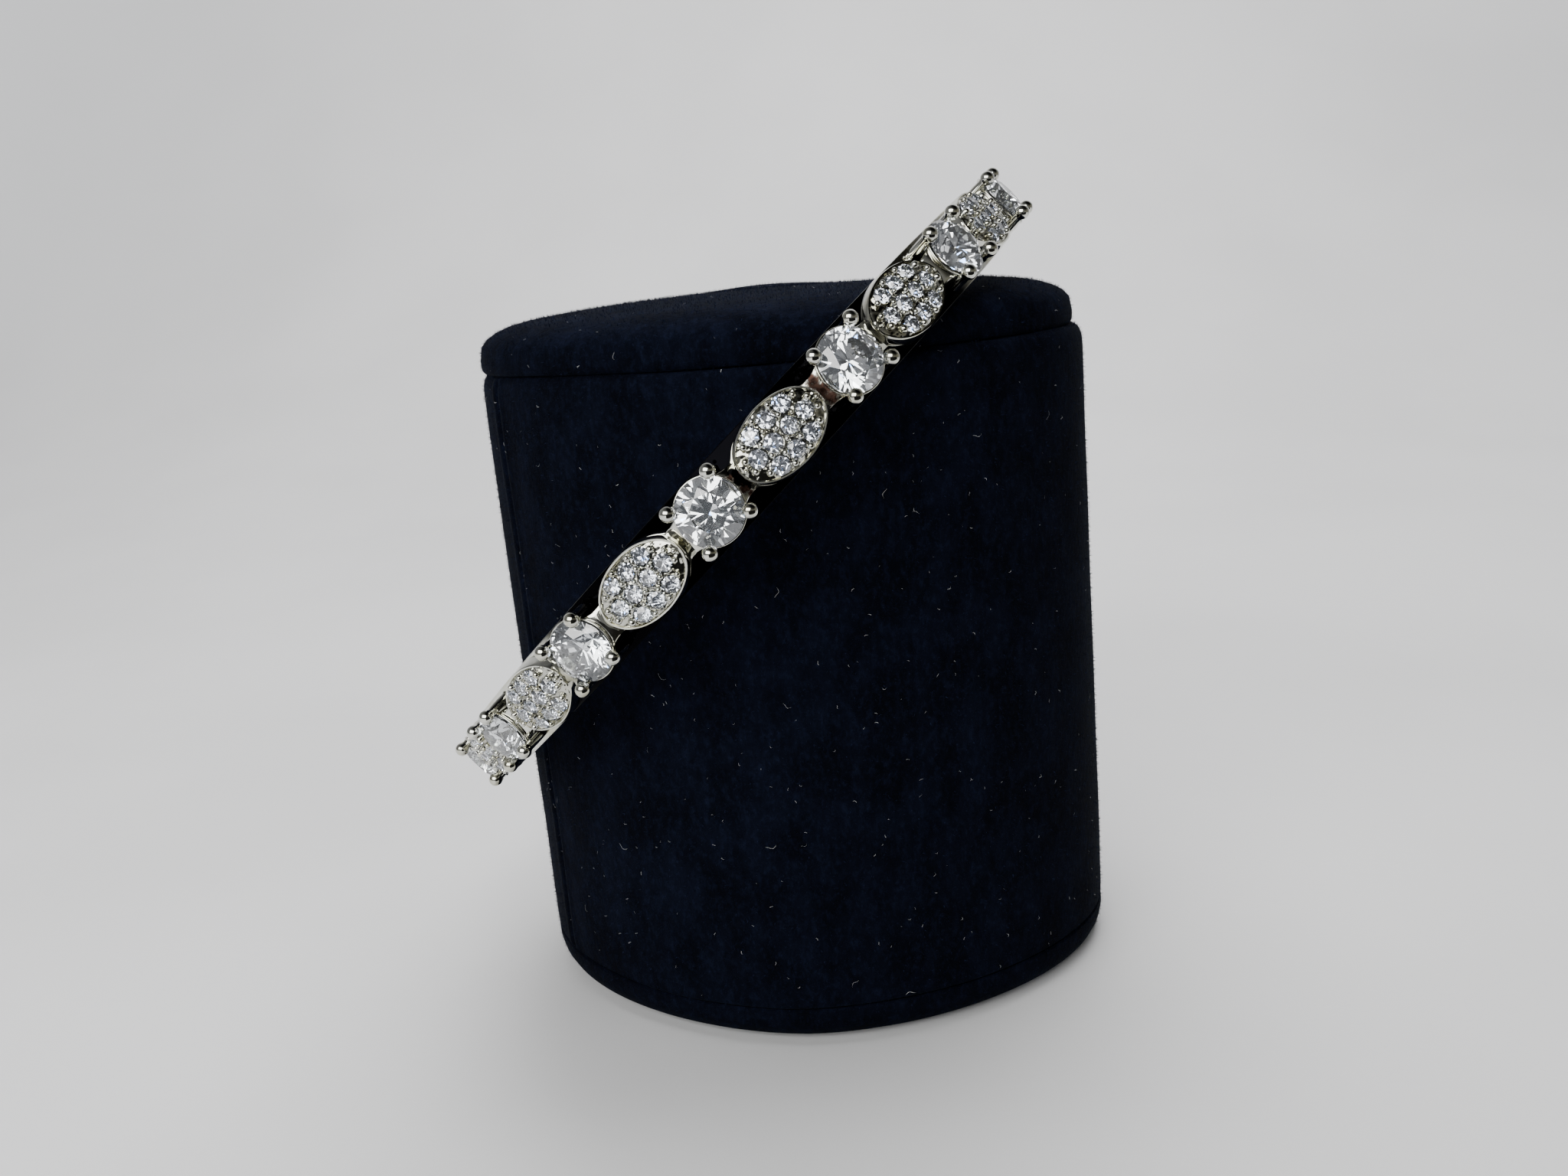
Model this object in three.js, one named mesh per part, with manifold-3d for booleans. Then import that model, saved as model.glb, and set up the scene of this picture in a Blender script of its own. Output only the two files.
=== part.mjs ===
// A slip-on stone-set bangle resting askew on its velvet display stand.
// Millimetres, +Z up, the viewer's side at -Y. The origin is the middle of the stand's underside.
import * as THREE from "three";
import { mergeVertices } from "three/addons/utils/BufferGeometryUtils.js";
import Module from "manifold-3d";

const wasm = await Module();
wasm.setup();

const { cos, sin, tan, exp, sign, abs, PI } = Math;
const { degToRad } = THREE.MathUtils;

// Bangle: where its middle hangs on the stand, and how far its plane leans
const BANGLE_CENTRE = new THREE.Vector3(-5.1, 5.8, 43.9);
const BANGLE_TILT = degToRad(42.5);
const BANGLE_TURN = degToRad(-2);

// Bangle: heights are measured outwards from the inside of the band
const INNER_RADIUS = 32.6;
const BAND_WIDTH = 5.5;
const BAND_THICKNESS = 0.7;
const BAND_EDGE = 0.2;
const BAND_STEPS = 60;
const SETTING_COUNT = 15;
const SETTING_PITCH = (2 * PI) / SETTING_COUNT;
const FIRST_SETTING = degToRad(-81);

// Round stones: a brilliant cut
const STONE_RADIUS = 2.5;
const TABLE_RADIUS = 1.4;
const STAR_RADIUS = 1.9;
const KEEL_RADIUS = 0.58;
const GIRDLE_HEIGHT = 2.55;
const GIRDLE_THICKNESS = 0.1;
const CROWN_ANGLE = degToRad(34.5);
const PAVILION_ANGLE = degToRad(40.75);
const STONE_SIDES = 8;

// Settings: collet, four ball-tipped prongs and the hole behind the stone
const STONE_GAP = 0.3;
const COLLET_FOOT_RADIUS = 1.9;
const COLLET_TOP_RADIUS = 2.78;
const COLLET_LIP_HEIGHT = 2.3;
const COLLET_SIDES = 10;
const AZURE_RADIUS = 1.1;
const BALL_RADIUS = 0.54;
const BALL_HEIGHT = 3.2;
const BALL_ALONG = 2.1;
const BALL_ACROSS = 2.04;
const STEM_RADIUS = 0.34;
const STEM_SHIFT = 1.03;
const STEM_FOOT_HEIGHT = 0.5;
const PRONG_SIDES = 6;

// Oval plates between the settings, each on an almond-shaped foot that ends in two short necks
const PLATE_LENGTH = 8.0;
const PLATE_WIDTH = 5.2;
const PLATE_RIM_HEIGHT = 2.2;
const PLATE_DOME_HEIGHT = 2.65;
const PLATE_DOME_SHARE = 0.55;
const PLATE_DRAFT = 0.06;
const PLATE_SIDES = 16;
const FOOT_LENGTH = 9.2;
const FOOT_WIDTH = 5.4;
const FOOT_HEIGHT = 1.4;
const FOOT_POINTEDNESS = 1.75;
const NECK_WIDTH = 1.7;
const NECK_LENGTH = 10.4;

// Stand: a padded velvet column with a domed top pad and a flat base
const STAND_HALF_WIDTH = 26.6;
const STAND_FRONT_DEPTH = 20.6;
const STAND_BACK_DEPTH = 20;
const STAND_FRONT_POWER = 1.8;
const STAND_BACK_POWER = 2.3;
const STAND_SIDES = 28;
const TOP_PAD_SHIFT = -0.5;
const TOP_PAD_SHRINK = 0.3;
const TOP_PAD_FRONT_SHRINK = 0.9;
const BULGE = { x: -2, y: 15, height: 1.3, spreadX: 8, spreadY: 5 };

// One row for each level of the stand: how high it is, and how far its outline draws in
const BASE_LEVELS = [
  { z: 0, inset: 2.2 },
  { z: 0.4, inset: 1.1 },
  { z: 1.2, inset: 0.35 },
  { z: 2.4, inset: 0.05 },
  { z: 3.2, inset: 0.1 },
];
const COLUMN_LEVELS = [
  { z: 3.5, inset: 0.1 },
  { z: 4.5, inset: 0 },
  { z: 55.3, inset: 0 },
  { z: 56.1, inset: 0.2 },
  { z: 56.5, inset: 0.65 },
];
const TOP_PAD_LEVELS = [
  { z: 56.8, inset: 0.7 },
  { z: 57.3, inset: 0.15 },
  { z: 58.2, inset: 0 },
  { z: 59.4, inset: 0.7 },
  { z: 60.4, inset: 2.6 },
  { z: 60.9, inset: 4.8 },
  { z: 61.3, inset: 9 },
  { z: 61.7, inset: 15 },
];

const METAL = { color: 0xd9dad4, roughness: 0.16, metalness: 1 };
const STONE = { color: 0xeef3fa, roughness: 0.02, metalness: 0 };
const VELVET = { color: 0x07090f, roughness: 0.95, metalness: 0 };

// A closed mesh, in indexed triangles, as a solid that can be joined and cut.
function solidOf(geometry) {
  const bare = geometry.clone();
  bare.deleteAttribute("normal");
  bare.deleteAttribute("uv");
  const merged = mergeVertices(bare, 1e-4);
  return new wasm.Manifold(
    new wasm.Mesh({
      numProp: 3,
      vertProperties: new Float32Array(merged.attributes.position.array),
      triVerts: new Uint32Array(merged.index.array),
    }),
  );
}

function geometryOf(solid) {
  const { vertProperties, triVerts } = solid.getMesh();
  const geometry = new THREE.BufferGeometry();
  geometry.setAttribute("position", new THREE.BufferAttribute(vertProperties, 3));
  geometry.setIndex(new THREE.BufferAttribute(triVerts, 1));
  return geometry;
}

// A body turned about Z. The profile is a list of [radius, height] that runs up its outside.
function turned(profile, sides) {
  const points = profile.map(([radius, height]) => new THREE.Vector2(radius, height));
  return new THREE.LatheGeometry(points, sides).rotateX(PI / 2);
}

// A closed skin through rings of equally many points, from the lowest ring to the highest.
function lofted(rings) {
  const sides = rings[0].length;
  const middle = (ring) =>
    ring.reduce((sum, p) => sum.add(p), new THREE.Vector3()).divideScalar(sides);
  const points = [middle(rings[0]), ...rings.flat(), middle(rings.at(-1))];
  const faces = [];
  for (let i = 0; i < sides; i++) {
    const next = (i + 1) % sides;
    faces.push(0, 1 + next, 1 + i);
    for (let level = 1; level < rings.length; level++) {
      const low = 1 + (level - 1) * sides;
      const high = low + sides;
      faces.push(low + i, low + next, high + next);
      faces.push(low + i, high + next, high + i);
    }
    const top = 1 + (rings.length - 1) * sides;
    faces.push(top + i, top + next, points.length - 1);
  }
  const geometry = new THREE.BufferGeometry().setFromPoints(points);
  geometry.setIndex(faces);
  return geometry;
}

// A point of a rounded outline: power 2 is an ellipse, less is more pointed, more is squarer.
function outlinePoint(angle, halfLength, halfWidth, power, z) {
  const x = halfLength * sign(cos(angle)) * abs(cos(angle)) ** (2 / power);
  const y = halfWidth * sign(sin(angle)) * abs(sin(angle)) ** (2 / power);
  return new THREE.Vector3(x, y, z);
}

function oval(halfLength, halfWidth, power, z) {
  return Array.from({ length: PLATE_SIDES }, (_, i) =>
    outlinePoint((2 * PI * (i + 0.5)) / PLATE_SIDES, halfLength, halfWidth, power, z),
  );
}

// The foot's outline: an almond whose first and last points become the square end of a neck
function footOutline(z) {
  const almond = oval(FOOT_LENGTH / 2, FOOT_WIDTH / 2, FOOT_POINTEDNESS, z);
  for (const point of almond) {
    if (abs(point.y) < NECK_WIDTH / 2) {
      point.set((sign(point.x) * NECK_LENGTH) / 2, (sign(point.y) * NECK_WIDTH) / 2, z);
    }
  }
  return almond;
}

// Places a piece on the band: x runs along the bangle, y across it and z outwards from its inside.
function onBand(angle) {
  const outwards = new THREE.Vector3(cos(angle), sin(angle), 0);
  const along = new THREE.Vector3(-sin(angle), cos(angle), 0);
  const across = new THREE.Vector3(0, 0, 1);
  const place = new THREE.Matrix4().makeBasis(along, across, outwards);
  return place.setPosition(outwards.multiplyScalar(INNER_RADIUS));
}

// The plain polished hoop that carries everything
function band() {
  const half = BAND_WIDTH / 2;
  const outer = INNER_RADIUS + BAND_THICKNESS;
  const section = [
    [INNER_RADIUS, half],
    [INNER_RADIUS, -half],
    [outer - BAND_EDGE, -half],
    [outer, BAND_EDGE - half],
    [outer, half - BAND_EDGE],
    [outer - BAND_EDGE, half],
    [INNER_RADIUS, half],
  ];
  return solidOf(turned(section, BAND_STEPS));
}

// A prong with its ball tip, turned as one piece
function prong(along, across) {
  const waist = BALL_HEIGHT - BALL_RADIUS * 0.75;
  const shoulder = BALL_RADIUS * sin(PI / 4);
  const profile = [
    [0, STEM_FOOT_HEIGHT],
    [STEM_RADIUS, STEM_FOOT_HEIGHT],
    [STEM_RADIUS, waist],
    [BALL_RADIUS, BALL_HEIGHT],
    [shoulder, BALL_HEIGHT + shoulder],
    [0, BALL_HEIGHT + BALL_RADIUS],
  ];
  const shape = turned(profile, PRONG_SIDES);
  return solidOf(shape.translate(along, across, 0));
}

// The cup under a round stone: it flares outwards, and its inside follows the stone at a gap
function collet() {
  const lipInside = STONE_RADIUS - (GIRDLE_HEIGHT - COLLET_LIP_HEIGHT) / tan(PAVILION_ANGLE) + STONE_GAP;
  const seatDepth = (lipInside - AZURE_RADIUS) * tan(PAVILION_ANGLE);
  const profile = [
    [AZURE_RADIUS, BAND_THICKNESS / 2],
    [COLLET_FOOT_RADIUS, BAND_THICKNESS / 2],
    [COLLET_TOP_RADIUS, COLLET_LIP_HEIGHT],
    [lipInside, COLLET_LIP_HEIGHT],
    [AZURE_RADIUS, COLLET_LIP_HEIGHT - seatDepth],
    [AZURE_RADIUS, BAND_THICKNESS / 2],
  ];
  return solidOf(turned(profile, COLLET_SIDES));
}

function azure() {
  const profile = [
    [0, -1],
    [AZURE_RADIUS, -1],
    [AZURE_RADIUS, COLLET_LIP_HEIGHT],
    [0, COLLET_LIP_HEIGHT],
  ];
  return solidOf(turned(profile, COLLET_SIDES));
}

// An oval plate with a domed top, standing on its almond-shaped foot
function plate() {
  const halfLength = PLATE_LENGTH / 2;
  const halfWidth = PLATE_WIDTH / 2;
  return solidOf(
    lofted([
      footOutline(BAND_THICKNESS / 2),
      footOutline(FOOT_HEIGHT),
      oval(halfLength + PLATE_DRAFT, halfWidth + PLATE_DRAFT, 2, FOOT_HEIGHT),
      oval(halfLength, halfWidth, 2, PLATE_RIM_HEIGHT),
      oval(halfLength * PLATE_DOME_SHARE, halfWidth * PLATE_DOME_SHARE, 2, PLATE_DOME_HEIGHT),
    ]),
  );
}

// Everything soldered together: the hoop, the settings and the plates
function bangleFrame() {
  const setting = collet();
  const signs = [-1, 1];
  const stemAlong = BALL_ALONG * STEM_SHIFT;
  const stemAcross = BALL_ACROSS * STEM_SHIFT;
  let prongs = null;
  for (const side of signs) {
    for (const end of signs) {
      const next = prong(end * stemAlong, side * stemAcross);
      prongs = prongs ? prongs.add(next) : next;
    }
  }
  const oneSetting = setting.add(prongs);
  const onePlate = plate();
  const oneHole = azure();
  let frame = band();
  for (let i = 0; i < SETTING_COUNT; i++) {
    const angle = FIRST_SETTING + i * SETTING_PITCH;
    frame = frame.add(onePlate.transform(onBand(angle + SETTING_PITCH / 2).elements));
  }
  for (let i = 0; i < SETTING_COUNT; i++) {
    const place = onBand(FIRST_SETTING + i * SETTING_PITCH).elements;
    frame = frame.subtract(oneHole.transform(place)).add(oneSetting.transform(place));
  }
  return geometryOf(frame);
}

// A ring of facet corners of a stone, half a side further round where it is staggered
function facetRing(radius, height, count, staggered) {
  return Array.from({ length: count }, (_, i) => {
    const angle = ((i + (staggered ? 0.5 : 0)) * 2 * PI) / count;
    return new THREE.Vector3(radius * cos(angle), radius * sin(angle), height);
  });
}

// A round brilliant: table, stars, kites and upper girdle facets over the girdle, and
// lower girdle facets and keel-shaped mains down to the point
function roundStone() {
  const halfStep = PI / STONE_SIDES;
  const girdleTop = GIRDLE_HEIGHT + GIRDLE_THICKNESS;
  const crownAt = (reach) => girdleTop + (STONE_RADIUS - reach) * tan(CROWN_ANGLE);
  const pavilionAt = (reach) => GIRDLE_HEIGHT - (STONE_RADIUS - reach) * tan(PAVILION_ANGLE);
  const table = facetRing(TABLE_RADIUS, crownAt(TABLE_RADIUS), STONE_SIDES, false);
  const stars = facetRing(STAR_RADIUS, crownAt(STAR_RADIUS * cos(halfStep)), STONE_SIDES, true);
  const upper = facetRing(STONE_RADIUS, girdleTop, 2 * STONE_SIDES, false);
  const lower = facetRing(STONE_RADIUS, GIRDLE_HEIGHT, 2 * STONE_SIDES, false);
  const keels = facetRing(KEEL_RADIUS, pavilionAt(KEEL_RADIUS * cos(halfStep)), STONE_SIDES, true);
  const point = new THREE.Vector3(0, 0, pavilionAt(0));
  const middle = new THREE.Vector3(0, 0, crownAt(TABLE_RADIUS));
  const corners = [];
  for (let i = 0; i < STONE_SIDES; i++) {
    const next = (i + 1) % STONE_SIDES;
    const last = (i + STONE_SIDES - 1) % STONE_SIDES;
    const main = 2 * i;
    const between = main + 1;
    const nextMain = 2 * next;
    corners.push(middle, table[i], table[next]);
    corners.push(table[i], stars[i], table[next]);
    corners.push(table[i], stars[last], upper[main]);
    corners.push(table[i], upper[main], stars[i]);
    corners.push(stars[i], upper[main], upper[between]);
    corners.push(stars[i], upper[between], upper[nextMain]);
    corners.push(upper[main], lower[main], lower[between]);
    corners.push(upper[main], lower[between], upper[between]);
    corners.push(upper[between], lower[between], lower[nextMain]);
    corners.push(upper[between], lower[nextMain], upper[nextMain]);
    corners.push(lower[main], keels[i], lower[between]);
    corners.push(lower[between], keels[i], lower[nextMain]);
    corners.push(lower[main], keels[last], point);
    corners.push(lower[main], point, keels[i]);
  }
  return mergeVertices(new THREE.BufferGeometry().setFromPoints(corners), 1e-4);
}

// The outline of the stand at one level
function standRing({ z, inset }, halfWidth, frontDepth) {
  return Array.from({ length: STAND_SIDES }, (_, i) => {
    const angle = (2 * PI * i) / STAND_SIDES;
    const front = sin(angle) < 0;
    const depth = front ? frontDepth : STAND_BACK_DEPTH;
    const power = front ? STAND_FRONT_POWER : STAND_BACK_POWER;
    return outlinePoint(angle, halfWidth - inset, depth - inset, power, z);
  });
}

function standPiece(levels) {
  return lofted(levels.map((level) => standRing(level, STAND_HALF_WIDTH, STAND_FRONT_DEPTH)));
}

// The top pad is domed, and its padding stands up in a soft bulge near the back.
function topPad() {
  const first = TOP_PAD_LEVELS[0].z;
  const crest = TOP_PAD_LEVELS.at(-1).z;
  const halfWidth = STAND_HALF_WIDTH - TOP_PAD_SHRINK;
  const frontDepth = STAND_FRONT_DEPTH - TOP_PAD_FRONT_SHRINK;
  const rings = TOP_PAD_LEVELS.map((level) => standRing(level, halfWidth, frontDepth));
  const pad = lofted(rings).translate(TOP_PAD_SHIFT, 0, 0);
  const position = pad.attributes.position;
  for (let i = 0; i < position.count; i++) {
    const awayX = (position.getX(i) - BULGE.x) / BULGE.spreadX;
    const awayY = (position.getY(i) - BULGE.y) / BULGE.spreadY;
    const share = (position.getZ(i) - first) / (crest - first);
    const rise = BULGE.height * share ** 2 * exp(-(awayX ** 2) - awayY ** 2);
    position.setZ(i, position.getZ(i) + rise);
  }
  return pad;
}

function piece(name, geometry, finish) {
  const flat = geometry.toNonIndexed();
  flat.computeVertexNormals();
  const mesh = new THREE.Mesh(flat, new THREE.MeshStandardMaterial(finish));
  mesh.name = name;
  return mesh;
}

function bangle() {
  const hoop = new THREE.Group();
  hoop.add(piece("bangle_frame", bangleFrame(), METAL));
  for (let i = 0; i < SETTING_COUNT; i++) {
    const number = String(i + 1).padStart(2, "0");
    const stone = piece("round_stone_" + number, roundStone(), STONE);
    stone.applyMatrix4(onBand(FIRST_SETTING + i * SETTING_PITCH));
    hoop.add(stone);
  }
  hoop.position.copy(BANGLE_CENTRE);
  hoop.rotation.set(0, -BANGLE_TILT, BANGLE_TURN, "ZYX");
  return hoop;
}

function stand() {
  const whole = new THREE.Group();
  whole.add(piece("stand_base", standPiece(BASE_LEVELS), VELVET));
  whole.add(piece("stand_column", standPiece(COLUMN_LEVELS), VELVET));
  whole.add(piece("stand_top_pad", topPad(), VELVET));
  return whole;
}

const group = new THREE.Group();
group.add(bangle());
group.add(stand());

export default group;
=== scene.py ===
from contextlib import contextmanager
from math import ceil, cos, exp, hypot, pi, radians, sin, sqrt, tan

import bmesh
import bpy
import numpy as np
from bpy.props import FloatProperty, FloatVectorProperty, IntProperty, PointerProperty
from mathutils import Matrix, Vector, noise


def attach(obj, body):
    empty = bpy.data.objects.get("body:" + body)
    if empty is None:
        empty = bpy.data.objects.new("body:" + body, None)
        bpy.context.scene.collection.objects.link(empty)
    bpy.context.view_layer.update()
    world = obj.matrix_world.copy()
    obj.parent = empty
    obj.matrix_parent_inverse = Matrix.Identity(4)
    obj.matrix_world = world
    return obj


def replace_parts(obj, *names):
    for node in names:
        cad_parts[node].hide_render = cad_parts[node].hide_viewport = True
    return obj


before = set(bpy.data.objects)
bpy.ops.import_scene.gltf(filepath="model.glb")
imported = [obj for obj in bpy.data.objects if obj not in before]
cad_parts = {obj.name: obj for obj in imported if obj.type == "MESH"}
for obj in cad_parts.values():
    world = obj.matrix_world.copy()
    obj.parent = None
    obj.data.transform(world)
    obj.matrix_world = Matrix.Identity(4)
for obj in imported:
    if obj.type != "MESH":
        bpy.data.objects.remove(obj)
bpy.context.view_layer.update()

bl_info = {
    "name": "Bangle on display stand",
    "version": (1, 0, 0),
    "blender": (4, 5, 0),
    "location": "View3D > Sidebar > Bangle",
    "description": "A stone-set slip-on bangle leaning on a velvet display stand",
    "category": "Object",
}

MM = 0.001
NOISE_SEED = 5
# Colour of the plain surround, and of the floor far from the stand
SURROUND = (0.97, 0.98, 1.0, 1)


def length(name, description, millimetres):
    """A size that the panel shows; its default is given in millimetres."""
    return FloatProperty(
        name=name, description=description, default=millimetres * MM, unit="LENGTH", precision=5
    )


def angle(name, description, degrees):
    """An angle, its default given in degrees."""
    value = radians(degrees)
    return FloatProperty(name=name, description=description, default=value, subtype="ANGLE")


def colour(name, description, default):
    """A colour, as its linear red, green and blue."""
    return FloatVectorProperty(
        name=name, description=description, default=default, subtype="COLOR", min=0, max=1
    )


class HoopSizes(bpy.types.PropertyGroup):
    """The hoop, and where it hangs on the stand."""

    centre: FloatVectorProperty(
        name="Centre", description="Middle of the hoop", unit="LENGTH",
        subtype="TRANSLATION", default=(-5.1 * MM, 5.8 * MM, 43.9 * MM),
    )
    tilt: angle("Tilt", "Lean of the hoop's plane to one side", 42.5)
    turn: angle("Turn", "Turn of the hoop about the vertical", -2)
    inner_radius: length("Inner radius", "Radius inside the band", 32.6)
    band_width: length("Band width", "Width of the band", 5.5)
    band_thickness: length("Band thickness", "Thickness of the band", 0.7)
    band_edge: length("Band edge", "Rounding of the band's edges", 0.1)
    settings: IntProperty(name="Settings", description="Number of round stones", default=15)
    first_setting: angle("First setting", "Where the first round stone sits", -81)


class StoneSizes(bpy.types.PropertyGroup):
    """A round stone's cut, measured outwards from the inside of the band."""

    stone_radius: length("Stone radius", "Radius of a round stone", 2.5)
    girdle_height: length("Girdle height", "Lower edge of the girdle", 2.55)
    girdle_thickness: length("Girdle thickness", "Thickness of the girdle", 0.1)
    crown_angle: angle("Crown angle", "Slope of the crown's mains", 34.5)
    pavilion_angle: angle("Pavilion angle", "Slope of the pavilion's mains", 40.75)


class SettingSizes(bpy.types.PropertyGroup):
    """A round stone's setting, measured outwards from the inside of the band."""

    hole_radius: length("Hole radius", "Hole behind each round stone", 1.1)
    lip_radius: length("Lip radius", "Outside of the collet's lip", 2.62)
    lip_height: length("Lip height", "Top of the collet's lip", 2.44)
    ball_radius: length("Ball radius", "Radius of the prongs' ball tips", 0.6)
    ball_height: length("Ball height", "Height of the middle of the balls", 3.2)
    ball_along: length("Ball offset along", "From the stone's middle, along the band", 2.05)
    ball_across: length("Ball offset across", "From the stone's middle, across the band", 2.0)
    stem_radius: length("Stem radius", "Radius of the prongs' stems", 0.4)


class PlateSizes(bpy.types.PropertyGroup):
    """An oval plate set with small stones, on its almond-shaped foot."""

    length: length("Length", "Length of the oval along the band", 8.0)
    width: length("Width", "Width of the oval", 5.2)
    rim_height: length("Rim height", "Top of the rim", 2.2)
    rim_width: length("Rim width", "Width of the polished rim", 0.15)
    dome_height: length("Dome height", "Top of the dome", 2.55)
    foot_length: length("Foot length", "Length of the almond foot", 8.4)
    foot_width: length("Foot width", "Width of the almond foot", 5.36)
    foot_height: length("Foot height", "Top of the foot", 1.4)
    neck_width: length("Neck width", "Width of the necks to the collets", 2.6)
    neck_length: length("Neck length", "Length over both necks", 9.66)
    neck_rise: length("Neck rise", "How far the necks climb towards the collets", 0.45)
    stone_diameter: length("Small stones", "Diameter of the small stones", 1.4)
    bead_radius: length("Bead radius", "Radius of the bead prongs", 0.2)


class StandSizes(bpy.types.PropertyGroup):
    """The velvet stand."""

    half_width: length("Half width", "Half of the stand's width", 26.6)
    front_depth: length("Front depth", "From the middle to the front", 20.6)
    back_depth: length("Back depth", "From the middle to the back", 20)
    seam_angle: angle("Seam", "Where the velvet's edges meet on the column", 209)
    pile_length: length("Pile length", "Length of the longest pile fibres", 0.32)
    pile_density: FloatProperty(
        name="Pile density", description="Fibres on each square millimetre", default=9
    )


class Finishes(bpy.types.PropertyGroup):
    """Colours of the metal, the stones, the velvet and the floor."""

    plating: colour("Plating", "Clean plated metal", (0.66, 0.66, 0.60))
    film: colour("Film", "Metal under a thin yellow film", (0.50, 0.48, 0.35))
    tarnish: colour("Tarnish", "Where the plating has worn to copper", (0.085, 0.047, 0.036))
    # A darker tone that the worked face between the small stones takes
    darker_face: colour("Grime", "Dull metal between the small stones", (0.28, 0.27, 0.22))
    # Recess: near-black painted shade and dark reflection for the recesses over the band, not a
    # film on the metal
    recess_shade: colour("Recess", "Dark film in the recesses", (0.0012, 0.0012, 0.0016))
    stone: colour("Stone", "Clear stones", (0.97, 0.985, 1.0))
    small_stone: colour("Small stones", "The plates' stones, a shade greyer", (0.76, 0.79, 0.86))
    velvet: colour("Velvet", "Deep side of the pile", (0.001, 0.0015, 0.0038))
    sheen: colour("Sheen", "Light side of the pile", (0.05, 0.066, 0.085))
    floor: colour("Floor", "Pale floor", (0.57, 0.57, 0.58))


class StageSizes(bpy.types.PropertyGroup):
    """Where the camera stands, and its lens."""

    eye: FloatVectorProperty(
        name="Eye", description="Place of the camera", unit="LENGTH",
        subtype="TRANSLATION", default=(13.741 * MM, -117.778 * MM, 64.112 * MM),
    )
    aim: FloatVectorProperty(
        name="Aim", description="Rotation of the camera", subtype="EULER",
        default=(radians(75.969), radians(5.108), radians(5.984)),
    )
    lens: FloatProperty(
        name="Lens", description="Focal length", default=30.234, unit="CAMERA"
    )


# ---------------------------------------------------------------- node trees


class Value:
    """A number in a node tree. Arithmetic on it adds Math nodes."""

    def __init__(self, nodes, socket):
        self.nodes = nodes
        self.socket = socket

    def __add__(self, other):
        return self.nodes.math("ADD", self, other)

    def __sub__(self, other):
        return self.nodes.math("SUBTRACT", self, other)

    def __rsub__(self, other):
        return self.nodes.math("SUBTRACT", other, self)

    def __mul__(self, other):
        return self.nodes.math("MULTIPLY", self, other)

    def __truediv__(self, other):
        return self.nodes.math("DIVIDE", self, other)

    def __rtruediv__(self, other):
        return self.nodes.math("DIVIDE", other, self)

    def __pow__(self, other):
        return self.nodes.math("POWER", self, other)

    __radd__ = __add__
    __rmul__ = __mul__

    def clamped(self):
        return self.nodes.add("ShaderNodeClamp", {}, {"Value": self}).value()

    def rise(self, low, high):
        """0 below low, 1 above high and smooth between."""
        settings = {"interpolation_type": "SMOOTHSTEP"}
        sockets = {"Value": self, "From Min": low, "From Max": high}
        return self.nodes.add("ShaderNodeMapRange", settings, sockets).value()


class Node:
    """A node just added, whose outputs are read as values."""

    def __init__(self, nodes, node):
        self.nodes = nodes
        self.node = node

    def value(self, output=0):
        return Value(self.nodes, self.node.outputs[output])


class Nodes:
    """Adds nodes to a tree: a type, its settings, then its sockets."""

    def __init__(self, tree):
        self.tree = tree

    def add(self, kind, settings=None, sockets=None):
        node = self.tree.nodes.new(kind)
        for name, setting in (settings or {}).items():
            setattr(node, name, setting)
        for name, given in (sockets or {}).items():
            if isinstance(given, Node):
                given = given.value()
            if isinstance(given, Value):
                self.tree.links.new(given.socket, node.inputs[name])
            else:
                node.inputs[name].default_value = given
        return Node(self, node)

    def math(self, operation, *numbers):
        settings = {"operation": operation}
        return self.add("ShaderNodeMath", settings, dict(enumerate(numbers))).value()

    def vector(self, operation, *vectors):
        settings = {"operation": operation}
        node = self.add("ShaderNodeVectorMath", settings, dict(enumerate(vectors)))
        is_number = operation in ("DISTANCE", "LENGTH", "DOT_PRODUCT")
        return node.value("Value" if is_number else "Vector")

    def stretched(self, vector, factors):
        return self.vector("MULTIPLY", vector, factors)

    def blend(self, factor, first, second):
        """A mix of two colours, which are the node's sockets 6 and 7."""
        settings = {"data_type": "RGBA"}
        sockets = {0: factor, 6: first, 7: second}
        return self.add("ShaderNodeMix", settings, sockets).value(2)

    def noise(self, vector, scale, detail=2.0, roughness=0.5):
        sockets = {"Vector": vector, "Scale": scale, "Detail": detail, "Roughness": roughness}
        return self.add("ShaderNodeTexNoise", {}, sockets).value("Fac")


def rgba(colour):
    return (*colour, 1.0)


def scaled(colour, share):
    """A darker or lighter shade of a colour."""
    return rgba([c * share for c in colour])


class Finish(Nodes):
    """A material with one Principled BSDF, patterned on Object coordinates in millimetres."""

    def __init__(self, name, constants):
        self.material = bpy.data.materials.new(name)
        self.material.use_nodes = True
        super().__init__(self.material.node_tree)
        self.shader = self.tree.nodes["Principled BSDF"]
        for socket, constant in constants.items():
            self.shader.inputs[socket].default_value = constant
        coordinates = self.add("ShaderNodeTexCoord").value("Object")
        self.place = self.stretched(coordinates, (1 / MM, 1 / MM, 1 / MM))

    def feed(self, socket, value):
        self.tree.links.new(value.socket, self.shader.inputs[socket])

    def bump(self, height, depth, strength=1.0):
        """Feeds the normal with a relief whose height runs 0 to 1 over depth."""
        sockets = {"Height": height, "Distance": depth, "Strength": strength}
        self.feed("Normal", self.add("ShaderNodeBump", {}, sockets).value("Normal"))


# ---------------------------------------------------------------- materials


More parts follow.
